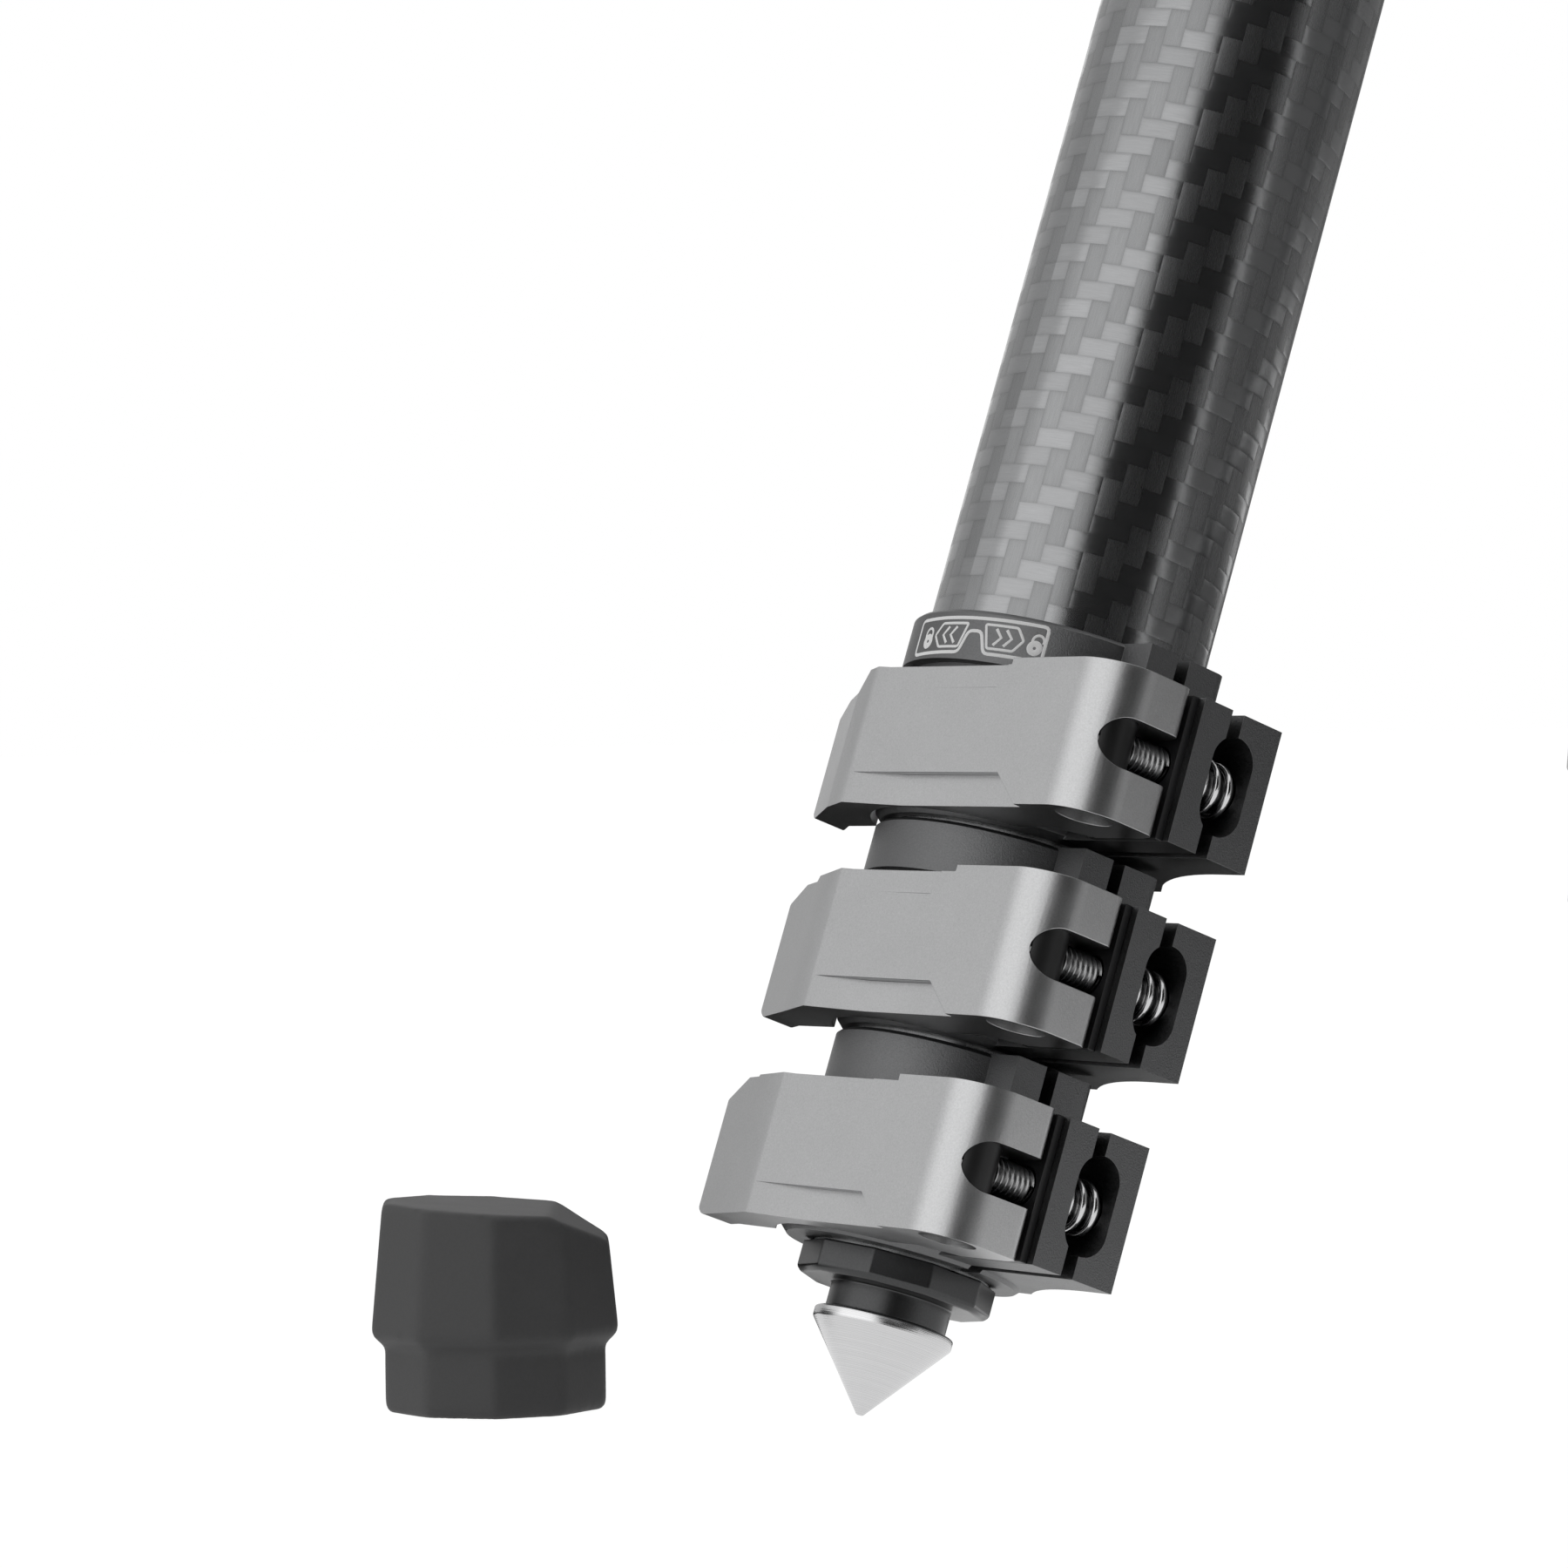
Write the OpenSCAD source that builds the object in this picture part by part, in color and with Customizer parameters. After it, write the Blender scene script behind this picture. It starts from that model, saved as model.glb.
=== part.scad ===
// Video tripod with three four-section carbon legs, lever clamps, bare spikes and pulled-off rubber feet.
// The frame has its origin at the centre of the plate that carries the fluid head, with Z up.
// Each leg is drawn in its own frame: z runs up the leg from the spike's tip, x points outward and
// square to the leg, and y points sideways, towards the ears of the clamps.

/* [Stance] */
// Angle between each leg and the vertical at the first stop
leg_angle = 20; // [19:0.25:22]
// Length of a leg from its hinge to the tip, with all sections pushed in
leg_reach = 470; // [460:1:560]
// Distance of each leg hinge from the tripod's axis
hinge_radius = 48; // [48:0.5:52]
// Depth of the leg hinges under the head plate
hinge_depth = 42; // [42:0.5:46]

/* [Tubes] */
// Outer diameter of the upper tube
tube_d = 30; // [29.8:0.05:30.4]
// Wall of every tube
tube_wall = 1.4; // [1.3:0.05:1.5]
// Gap from each tube to the tube that slides in it
tube_gap = 0.4; // [0.35:0.05:0.5]
// Running clearance of a guide or a clamp's bore
slide_fit = 0.05; // [0.03:0.01:0.08]
// Step from the end of one tube up to the end of the tube round it
tube_end_step = 5; // [4:0.5:8]
// Gap above the inner tubes in the upper tube
tube_top_gap = 8; // [6:0.5:10]
// Length of the guide bushes at the tubes' upper ends
bush_length = 50; // [40:1:60]

/* [Clamps] */
// Distance from one clamp to the next with the sections pushed in
clamp_pitch = 22.6; // [22.6:0.1:26]
// Height of the two ears of a clamp
ear_height = 15.6; // [14:0.1:15.8]
// Thickness of the ear on the lever's side
ear_thin = 3.9; // [3.7:0.05:4]
// Thickness of the ear on the far side
ear_thick = 5.4; // [5:0.1:7]
// Width of the slit between the ears
slit_width = 1.6; // [1.2:0.1:1.8]
// How far the ears reach past the inner tube's surface
ear_reach = 18; // [17.8:0.1:20]
// Wall of a clamp round the outer tube
sleeve_wall = 1.55; // [1.4:0.05:1.7]
// Height of the sleeve round the outer tube
sleeve_height = 5.6; // [4:0.1:5.7]
// How far the block over the ears reaches past the outer tube
block_reach = 5.2; // [4.6:0.1:6]
// Radius of the block's rounded corner
block_corner_r = 1.5; // [0.5:0.1:2.5]
// Height of the web on which the outer tube seats
web_height = 1.2; // [0.8:0.1:2]
// Outer radius of the ring of the upper clamp
ring_upper_r = 15.2; // [14.9:0.1:15.4]
// Outer radius of the ring of the other clamps
ring_lower_r = 13.3; // [12.9:0.1:13.4]
// How far a ring reaches under the middle of its ears
ring_drop = 8.2; // [7.9:0.05:8.3]
// Chamfer of the lower edge of a ring
ring_chamfer = 0.8; // [0.4:0.1:1]
// Radius of the sweep that joins the thick ear to its ring
ear_sweep_r = 25; // [18:1:40]

/* [Clamp screws] */
// Diameter of the draw bolt
bolt_d = 4; // [3.8:0.05:4.1]
// Depth of the bolt's axis under the ends of the ears
bolt_depth = 3.9; // [3.8:0.05:4.2]
// Clearance of the bolt in the ears
bolt_clear = 0.15; // [0.1:0.05:0.3]
// Diameter of the bolt's countersunk head
bolt_head_d = 7.4; // [6.6:0.1:7.6]
// Height of the bolt's countersunk head
bolt_head_h = 1.9; // [1.6:0.05:2]
// Depth of the bolt's head under the thick ear's outer face
bolt_head_sink = 0.1; // [0.05:0.05:0.2]
// Width across flats of the socket in the bolt's head
bolt_key = 2.5; // [2:0.1:2.6]
// Depth of the socket in the bolt's head
bolt_key_depth = 1.3; // [1:0.1:1.6]
// Diameter of the barrel nut in the lever
barrel_d = 6; // [5.6:0.1:6.1]
// Length of the barrel nut
barrel_length = 13; // [10:0.5:14]
// Distance of the barrel nut's axis from the leg's plane of the slit
barrel_x = 13; // [13:0.05:13.3]
// Thickness of the pressure plate under the lever
plate_thick = 0.9; // [0.7:0.05:0.95]
// Height of the oval pocket round the spring
pocket_height = 10.6; // [9:0.1:12]
// Depth of the oval pocket
pocket_depth = 8.6; // [8:0.1:9.5]
// How far the pocket is cut into the thick ear
pocket_thick = 2.85; // [2.6:0.05:3.2]
// How far the pocket is cut into the thin ear
pocket_thin = 1.05; // [0.9:0.05:1.2]

/* [Clamp springs] */
// Outer diameter of the spring between the ears
spring_d = 6.2; // [5.9:0.05:6.4]
// Diameter of the spring's wire
spring_wire = 0.84; // [0.7:0.02:0.88]
// Turns of the spring
spring_turns = 2.75; // [2.5:0.125:2.75]

/* [Levers] */
// Height of the lever's head
lever_height = 16; // [15.6:0.1:16.2]
// Height of the lever's arm, which is lower at the top
arm_height = 15.3; // [14:0.1:15.6]
// Distance from the barrel nut's axis to the lever's outer face
lever_front = 4; // [3.9:0.05:4.6]
// Distance from the barrel nut's axis to the face that bears on the pressure plate
lever_back = 6.9; // [6.7:0.05:6.92]
// Radius of the lever's outer corner
lever_corner_r = 5.6; // [5.4:0.05:5.7]
// Clearance from the lever's arm to the ring that it hugs
arm_clear = 0.4; // [0.3:0.05:0.6]
// Where the flat of the arm ends, on the upper, middle and lower lever
flat_end = [-8.9, -5.7, -5.9]; // [-10:0.1:-5]
// Sideways place of the crease before the thumb tab, on the upper, middle and lower lever
crease_side = [-13.7, -13.7, -12.6]; // [-15:0.1:-12]
// How far the crease lies behind the outer face
crease_back = [1.8, 3.2, 1.9]; // [1:0.1:4]
// Sideways place of the tab's end
tab_side = [-23.6, -22.6, -20.7]; // [-25:0.1:-19]
// How far the tab's end lies behind the outer face
tab_back = [7.2, 6.6, 4.2]; // [3:0.1:8]
// Height of the tab's top at the crease
tab_top = [5.0, 6.7, 7.1]; // [4:0.1:7.2]
// Height of the tab's top at its end
tab_top_end = [3.4, 4.6, 4.3]; // [2:0.1:5]
// Thickness of the thumb tab
tab_thick = 3.7; // [3:0.1:4]
// Length of the slope along the tab's top
tab_slope = 5.5; // [4:0.1:6]
// Radius of the tab's lower corner
tab_corner_r = 3; // [1.5:0.1:4]
// Length of the tab's hook behind its end
hook_length = 4.4; // [3:0.1:5]
// Depth of the upper sunk strip
upper_depth = 0.25; // [0.15:0.05:0.5]
// Height of the upper strip
strip_upper = 2.5; // [1.5:0.1:2.8]
// Depth of the lower sunk strip at its deep end
lower_depth = 1; // [0.6:0.05:1.1]
// Height of the lower strip
strip_lower = 3.4; // [2.6:0.1:4]
// Height of the slot that the bolt swings through
lever_slot = 5.3; // [4.8:0.1:6]
// How far the lever swings open
lever_swing = 90; // [80:1:90]

/* [Foot] */
// Height of the spike's cone
spike_height = 8.8; // [7:0.1:9.2]
// Radius of the spike's rim
spike_rim_r = 7.5; // [6.6:0.05:7.55]
// Height of the spike's polished rim
rim_height = 1.3; // [1:0.1:1.5]
// Radius of the spike's blunt tip
tip_r = 0.35; // [0.2:0.05:0.6]
// Radius of the spike's threaded shank
shank_r = 4; // [3:0.1:4.5]
// Length of the spike's threaded shank
shank_length = 14; // [10:0.5:18]
// Radius of the fitting's neck above the spike
neck_r = 6.5; // [5.5:0.1:6.6]
// Height of the fitting's neck
neck_height = 2.8; // [2.2:0.1:3.2]
// Height of the fitting's ten-sided collar
fitting_height = 3.4; // [2.8:0.1:4]
// Radius to the corners of the ten-sided collar
fitting_r = 10.5; // [10.2:0.05:10.6]
// Length of the fitting's spigot in the lowest tube
spigot_length = 12; // [10:0.5:16]
// Gap between the fitting and the lowest clamp
fitting_gap = 0.3; // [0.2:0.05:0.5]

/* [Rubber foot] */
// Height of the rubber foot as it stands on its mouth
rubber_height = 22.4; // [22:0.1:24]
// Radius to the corners of the collar round the mouth
rubber_collar_r = 12.3; // [12.1:0.05:12.6]
// Height of the collar round the mouth
rubber_collar_h = 6.4; // [6:0.1:6.8]
// Radius to the corners of the widest ridge
rubber_ridge_r = 13.8; // [13.2:0.05:14.2]
// Height of the widest ridge above the mouth
rubber_ridge_z = 8.3; // [8:0.1:9]
// Radius to the corners at the sole
rubber_sole_r = 12.4; // [11.8:0.05:12.8]
// Slope of the sole
sole_slope = 3.7; // [2:0.1:5]
// Slope of the cut along the sole's edge
sole_cut = 28; // [24:1:34]
// Clearance of the fitting in the rubber foot
rubber_fit = 0.25; // [0.2:0.05:0.35]
// Distance outward from the spike's tip to the rubber foot's middle
rubber_out = 23.9; // [20:0.1:30]
// Distance sideways from the spike's tip to the rubber foot's middle
rubber_side = -32.7; // [-40:0.1:-28]
// Turn of the rubber foot as it stands
rubber_turn = 20; // [0:1:35]
// Direction in which the rubber foot's sole falls
sole_turn = 143.8; // [120:0.2:160]

/* [Leg top] */
// Radius of the casting round the upper tube
knuckle_r = 17.5; // [17.2:0.1:17.8]
// Length of the casting round the upper tube
knuckle_length = 32; // [24:1:32]
// Distance of the casting's lower end under the leg's hinge
knuckle_drop = 54; // [54:0.5:58]
// Width of the tongue between the hub's lugs
tongue_width = 24; // [22:0.5:24.4]
// Radius of the tongue round the hinge
tongue_r = 11; // [10.8:0.1:11.2]
// Diameter of the hinge pin
hinge_pin_d = 8; // [7:0.1:8.5]
// Running clearance of the hinge pin in the tongue
hinge_fit = 0.06; // [0.03:0.01:0.09]
// Height of the stop latch above the hinge
latch_top = 9; // [8:0.1:9.2]
// Depth of the stop latch under the hinge
latch_drop = 8; // [7:0.1:8.2]
// Half of the stop latch's width
latch_half = 6; // [5:0.1:6.5]
// Thickness of the stop latch
latch_thick = 3.2; // [3:0.1:3.4]
// Gap from the latch to the face that it slides on and to its stop
latch_gap = 0.3; // [0.25:0.05:0.4]
// How far the stop latch is pulled down to free the leg
latch_travel = 4; // [3:0.1:4]

/* [Hub] */
// Radius of the levelling ball
ball_r = 37.3; // [36.8:0.1:37.4]
// Clearance between the ball and the bowl
ball_fit = 0.2; // [0.1:0.05:0.3]
// Wall of the bowl
bowl_wall = 5; // [4.5:0.1:5.2]
// Depth of the ball's centre under the head plate
ball_depth = 13; // [12:0.5:13]
// Radius of the head plate
head_plate_r = 30; // [26:0.5:31]
// Step from the ball's centre up to its shoulder
ball_shoulder = 3; // [2:0.5:5]
// Depth of the ball's flat underside under its centre
ball_cut = 30; // [26:0.5:31]
// Radius of the hub's rim
rim_r = 44; // [43:0.1:44.4]
// Depth of the hub's rim under the ball's centre
rim_drop = 3; // [2:0.5:4]
// Height of the band under the hub's rim
band_height = 14; // [12:0.5:14]
// How far the levelling ball tilts each way
ball_tilt = 8; // [6:0.5:8]
// Radius of the tie rod
tie_rod_r = 5; // [4:0.1:5]
// Radius of the clamp knob
knob_r = 19; // [16:0.5:19.5]
// Height of the clamp knob
knob_height = 12; // [10:0.5:13]
// Radius of the cup washer
cup_r = 17; // [16.6:0.1:17.5]
// Thickness of the cup washer at its middle
cup_thick = 4; // [3:0.1:4.5]
// Thickness of the hub's lugs
lug_thick = 5.7; // [5:0.1:6.5]
// Clearance between a lug and the tongue
lug_clear = 0.3; // [0.25:0.05:0.4]
// Radius of a lug round the hinge pin
lug_r = 12; // [11.5:0.1:12.2]
// Radius of the head screw
stud_r = 4.76; // [4.6:0.01:4.8]
// Height of the head screw above the plate
stud_height = 12; // [9:0.5:14]
// How far the head screw goes into the plate
stud_seat = 9; // [7:0.5:10]
// Radius of the head screw in the plate
stud_seat_r = 4; // [3.5:0.1:4.4]
// Width and depth of the relief in the plate round the head screw
stud_relief = 0.6; // [0.4:0.1:1]

/* [Hidden] */
$fn = 96;
LEG_NAMES = ["a", "b", "c"];
LEG_TURN = [-90, 30, 150];
CLAMPS = 3;
DETAIL_PARTS = ["knuckle", "stop_latch", "tube_1", "tube_2", "tube_3", "tube_4",
    "guide_bush_2", "guide_bush_3", "guide_bush_4", "collar_1", "collar_2", "collar_3",
    "lever_1", "lever_2", "lever_3", "barrel_nut_1", "barrel_nut_2", "barrel_nut_3",
    "draw_bolt_1", "draw_bolt_2", "draw_bolt_3", "pressure_plate_1", "pressure_plate_2",
    "pressure_plate_3", "spring_1", "spring_2", "spring_3", "foot_fitting", "spike", "rubber_foot"];
GROUP_PARTS = ["leg_top", "stop_latch", "tube_1", "tube_2", "tube_3", "clamp_2", "clamp_3",
    "foot_section", "lever_1", "lever_2", "lever_3", "rubber_foot"];

CARBON = "#303033";
BLACK = "#202022";
SILVER = "#a3a4a6";
STEEL = "#c9cacc";
RUBBER = "#2c2c2d";

// Sizes of the tubes, of which the first is the upper one
tube_step = tube_wall + tube_gap;
function tube_r(k) = tube_d / 2 - (k - 1) * tube_step;
function tube_bore(k) = tube_r(k) - tube_wall;

// Heights up the leg from the spike's tip
neck_z = spike_height + rim_height;
collar_z = neck_z + neck_height;
fitting_top = collar_z + fitting_height;
low_clamp_z = fitting_top + fitting_gap + ring_drop;
function clamp_z(k) = low_clamp_z + (CLAMPS - k) * clamp_pitch;
lever_gap = 0.3;
small_gap = 0.03;
sleeve_base = lever_height / 2 + lever_gap;
tube_seat = sleeve_base + web_height;
knuckle_base = leg_reach - knuckle_drop;
knuckle_bore_top = knuckle_base + knuckle_length;
tongue_root = knuckle_bore_top + 4;
function tube_bottom(k) = k > CLAMPS ? fitting_top : clamp_z(k) + tube_seat;
function tube_top(k) =
    k == 1 ? knuckle_bore_top : knuckle_bore_top - tube_top_gap - (k - 1) * tube_end_step;

// Sizes of the clamps
function sleeve_r(k) = tube_r(k) + sleeve_wall;
function ring_r(k) = k == 1 ? ring_upper_r : ring_lower_r;
function ear_end(k) = tube_r(k + 1) + ear_reach;
function bolt_y(k) = ear_end(k) - bolt_depth;
ear_top = ear_height / 2;
ear_out = slit_width / 2 + ear_thin;
ear_back = -slit_width / 2 - ear_thick;
pocket_from = -slit_width / 2 - pocket_thick;
pocket_to = slit_width / 2 + pocket_thin;
pocket_r = (pocket_to - pocket_from) / 2;
pocket_x = (pocket_to + pocket_from) / 2;
bolt_hole_r = bolt_d / 2 + bolt_clear;
bolt_end = barrel_x + sqrt(barrel_d * barrel_d - bolt_d * bolt_d) / 2 - small_gap;
overlap = 1;

// Sizes of the springs, with the wire's run worked out as rings
spring_rings = 8;
spring_sides = 6;
spring_r = (spring_d - spring_wire) / 2;
spring_steps = round(spring_turns * spring_rings);
spring_rise = pocket_to - pocket_from - 2 * spring_wire;
spring_pitch = spring_rise * spring_rings / spring_steps;
spring_from = 150;
function spring_turn(i) = spring_from + 360 * min(max(i, 0), spring_steps) / spring_rings;
function spring_x(i) =
    i < 0 ? pocket_from + small_gap :
    i > spring_steps ? pocket_to - small_gap :
    pocket_from + spring_wire + spring_rise * i / spring_steps;
function spring_point(i) =
    [spring_x(i), spring_r * cos(spring_turn(i)), spring_r * sin(spring_turn(i))];
function unit(v) = v / norm(v);
function coil_way(a) = unit([spring_pitch / (2 * PI), -spring_r * sin(a), spring_r * cos(a)]);
function spring_way(i) =
    i < 0 || i > spring_steps ? [1, 0, 0] :
    i == 0 || i == spring_steps ? unit([1, 0, 0] + coil_way(spring_turn(i))) :
    coil_way(spring_turn(i));
function spring_ring(i) =
    let (c = spring_point(i), a = spring_turn(i), n = [0, cos(a), sin(a)], b = cross(spring_way(i), n),
        wide = i == 0 || i == spring_steps ? 1.3 : 1)
    [for (j = [0 : spring_sides - 1])
        c + spring_wire / 2 * (cos(j * 360 / spring_sides) * n + wide * sin(j * 360 / spring_sides) * b)];
spring_path = [for (i = [0 : spring_steps]) spring_point(i)];
spring_self_gap = min([for (i = [0 : spring_steps]) for (j = [i + spring_rings - 2 : spring_steps])
    if (j > i + spring_rings / 2) norm(spring_path[i] - spring_path[j])]) - spring_wire;
echo(spring_self_gap = spring_self_gap, spring_pitch = spring_pitch, curls_in_all = 9 * spring_turns);

// Sizes of the levers, measured from the barrel nut's axis
lever_corner_x = lever_front - lever_corner_r;
lever_end_y = bolt_depth;
lever_corner_y = lever_end_y - lever_corner_r;
lever_edge_r = 1.3;
lever_edge_x = 0.3;
lever_edge_y = 2.6;
lever_back_y = 1.7;
lever_foot_y = -6;
lever_waist_x = -3.5;
lever_waist_y = -9.5;
lever_split_y = 14;
tab_end_r = 1.2;
wedge_length = 9;
strip_start = 0.4;
upper_run = 1.5;
lower_strip_y = 10.8;
upper_strip_y = 13.5;
strip_slant = 4.6;
strip_edge = 0.6;
strip_rise = 1.2;
slot_spare = 4;
slot_side = 180 - lever_swing + slot_spare;
function arc(x, y, r, from, to, steps) =
    [for (i = [0 : steps]) let (a = from + (to - from) * i / steps) [x + r * cos(a), y + r * sin(a)]];

// Sizes of the hub, measured from the leg hinges
lug_in = tongue_width / 2 + lug_clear;
lug_out = lug_in + lug_thick;
latch_x = tongue_r + latch_gap;
latch_out = latch_x + latch_thick;
web_low = latch_out * sin(leg_angle) + latch_top * cos(leg_angle) + latch_gap;
web_thick = 4.5;
lug_root = 26;
rib_half = 2.5;
rib_in = 2.4;
ball_z = -ball_depth;
bowl_r = ball_r + ball_fit;
shell_r = bowl_r + bowl_wall;
rod_hole_r = (shell_r * sin(ball_tilt) + tie_rod_r) + 0.4;
tip_depth = hinge_depth + leg_reach * cos(leg_angle) + tip_r * sin(leg_angle);

module leg_frame(leg) {
    rotate([0, 0, LEG_TURN[leg]])
        translate([hinge_radius, 0, -hinge_depth])
            rotate([0, -leg_angle, 0])
                translate([0, 0, -leg_reach])
                    children();
}

module tube(k) {
    length = tube_top(k) - tube_bottom(k);
    color(CARBON)
        translate([0, 0, tube_bottom(k)])
            difference() {
                cylinder(r = tube_r(k), h = length);
                translate([0, 0, -overlap]) cylinder(r = tube_bore(k), h = length + 2 * overlap);
            }
}

// In the legs packed in fewer parts, bonded pieces reach into each other by the bond
module guide_bush(k, bond = 0) {
    color("#d8d8d4")
        translate([0, 0, tube_top(k) - bush_length])
            difference() {
                cylinder(r = tube_bore(k - 1) - slide_fit, h = bush_length);
                translate([0, 0, -overlap]) cylinder(r = tube_r(k) - bond, h = bush_length + 2 * overlap);
            }
}

// The ring, the sleeve and the two ears of a clamp
module collar(k) {
    color(BLACK)
        translate([0, 0, clamp_z(k)])
            difference() {
                union() {
                    collar_turned(k);
                    collar_ears(k);
                    collar_block(k);
                }
                translate([0, 0, -ring_drop - overlap])
                    cylinder(r = tube_r(k + 1) + slide_fit, h = ring_drop + tube_seat + 2 * overlap);
                translate([0, 0, tube_seat]) cylinder(r = tube_r(k), h = sleeve_height);
                collar_slit(k);
                collar_pocket(k);
                translate([ear_back, bolt_y(k), 0]) rotate([0, 90, 0]) collar_bolt_hole();
            }
}

module collar_slit(k) {
    translate([-slit_width / 2, 0, -ring_drop - overlap])
        cube([slit_width, ear_end(k) + overlap, ring_drop + sleeve_base + sleeve_height + 2 * overlap]);
}

// The block that carries the slit up the sleeve, over the ears
module collar_block(k) {
    side = tube_r(k) + block_reach;
    translate([0, 0, ear_top - overlap])
        linear_extrude(sleeve_base + sleeve_height - ear_top + overlap)
            polygon(concat(
                [[ear_back, 0], [ear_out, 0], [ear_out, side]],
                arc(ear_back + block_corner_r, side - block_corner_r, block_corner_r, 90, 180, 8)));
}

module collar_bolt_hole() {
    slope = (bolt_head_d / 2 - bolt_hole_r) / bolt_head_h;
    translate([0, 0, -overlap]) cylinder(r = bolt_hole_r, h = ear_out - ear_back + 2 * overlap);
    translate([0, 0, -overlap]) cylinder(r = bolt_head_d / 2, h = bolt_head_sink + overlap);
    translate([0, 0, bolt_head_sink])
        cylinder(r1 = bolt_head_d / 2, r2 = bolt_head_d / 2 - slope * bolt_head_h, h = bolt_head_h);
}

module collar_turned(k) {
    edge = 0.4;
    top = sleeve_base + sleeve_height;
    rotate_extrude()
        polygon([[0, -ring_drop], [ring_r(k) - ring_chamfer, -ring_drop],
            [ring_r(k), ring_chamfer - ring_drop], [ring_r(k), sleeve_base], [sleeve_r(k), sleeve_base], [sleeve_r(k), top - edge],
            [sleeve_r(k) - edge, top], [0, top]]);
}

module collar_ears(k) {
    sweep_y = ear_end(k) - 4;
    cap = ring_r(k) - 2.3;
    translate([ear_back, 0, -ear_top]) cube([ear_out - ear_back, ear_end(k), ear_height]);
    difference() {
        translate([-cap, 0, -ear_top]) cube([cap + ear_back + overlap, sweep_y, ear_height]);
        translate([ear_back - ear_sweep_r, sweep_y, -ear_top - overlap])
            cylinder(r = ear_sweep_r, h = ear_height + 2 * overlap, $fn = 200);
    }
}

module collar_pocket(k) {
    reach = pocket_height / 2 - pocket_r;
    translate([pocket_x, ear_end(k) + overlap, 0])
        rotate([90, 0, 0]) {
            for (side = [-1, 1])
                translate([0, side * reach, 0]) cylinder(r = pocket_r, h = pocket_depth + overlap);
            translate([-pocket_r, -reach, 0]) cube([2 * pocket_r, 2 * reach, pocket_depth + overlap]);
        }
}

module pressure_plate(k) {
    low_y = bolt_y(k) - 8;
    high_y = ear_end(k) - 1;
    color("#151516")
        difference() {
            translate([ear_out + small_gap, low_y, clamp_z(k) - ear_top])
                cube([plate_thick, high_y - low_y, ear_height]);
            translate([ear_out - overlap, bolt_y(k), clamp_z(k)])
                rotate([0, 90, 0]) cylinder(r = bolt_hole_r, h = plate_thick + 2 * overlap);
        }
}

module draw_bolt(k) {
    color(STEEL)
        translate([ear_back, bolt_y(k), clamp_z(k)])
            rotate([0, 90, 0])
                difference() {
                    union() {
                        translate([0, 0, bolt_head_sink])
                            cylinder(d = bolt_d, h = bolt_end - ear_back - bolt_head_sink);
                        translate([0, 0, bolt_head_sink])
                            cylinder(
                                r1 = bolt_head_d / 2 - small_gap,
                                r2 = bolt_hole_r - small_gap,
                                h = bolt_head_h);
                    }
                    translate([0, 0, bolt_head_sink - overlap])
                        cylinder(d = bolt_key / cos(30), h = bolt_key_depth + overlap, $fn = 6);
                }
}

module barrel_nut(k) {
    color(STEEL)
        translate([barrel_x, bolt_y(k), clamp_z(k)])
            difference() {
                translate([0, 0, -barrel_length / 2]) cylinder(d = barrel_d, h = barrel_length);
                translate([-barrel_d, 0, 0])
                    rotate([0, 90, 0]) cylinder(r = bolt_d / 2 + small_gap, h = 2 * barrel_d);
            }
}

module clamp_spring(k) {
    rings = [for (i = [-1 : spring_steps + 1]) spring_ring(i)];
    last = len(rings) - 1;
    points = [for (ring = rings) for (p = ring) p];
    function at(i, j) = i * spring_sides + j % spring_sides;
    sides = [for (i = [0 : last - 1]) for (j = [0 : spring_sides - 1])
        for (face = [
            [at(i, j), at(i + 1, j + 1), at(i, j + 1)],
            [at(i, j), at(i + 1, j), at(i + 1, j + 1)]]) face];
    ends = [for (j = [1 : spring_sides - 2])
        for (face = [
            [at(0, 0), at(0, j), at(0, j + 1)],
            [at(last, 0), at(last, j + 1), at(last, j)]]) face];
    color(STEEL)
        translate([0, bolt_y(k), clamp_z(k)])
            polyhedron(points = points, faces = concat(sides, ends), convexity = 6);
}

// The lever is one casting: a thick head round the barrel nut, an arm and a thumb tab
module lever(k) {
    color(SILVER)
        translate([0, 0, clamp_z(k)])
            difference() {
                union() {
                    translate([0, 0, -lever_height / 2]) linear_extrude(lever_height) lever_head(k);
                    translate([0, 0, -lever_height / 2]) linear_extrude(arm_height) lever_arm(k);
                }
                translate([0, 0, -lever_height])
                    cylinder(r = ring_r(k) + arm_clear, h = 2 * lever_height);
                lever_strips(k);
                lever_tab_corner(k);
                translate([barrel_x, bolt_y(k), 0]) {
                    translate([0, 0, -lever_height])
                        cylinder(r = barrel_d / 2 + slide_fit, h = 2 * lever_height);
                    lever_bolt_slot();
                }
            }
}

module lever_head(k) {
    y = bolt_y(k);
    polygon(concat(
        [[barrel_x + lever_waist_x, lever_split_y], [barrel_x + lever_front, lever_split_y]],
        arc(barrel_x + lever_corner_x, y + lever_corner_y, lever_corner_r, 0, 90, 18),
        arc(barrel_x - lever_back + lever_edge_x + lever_edge_r, y + lever_edge_y,
            lever_edge_r, 95, 180, 8),
        [[barrel_x - lever_back, y + lever_back_y], [barrel_x - lever_back, y + lever_foot_y],
            [barrel_x + lever_waist_x, y + lever_waist_y]]));
}

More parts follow.
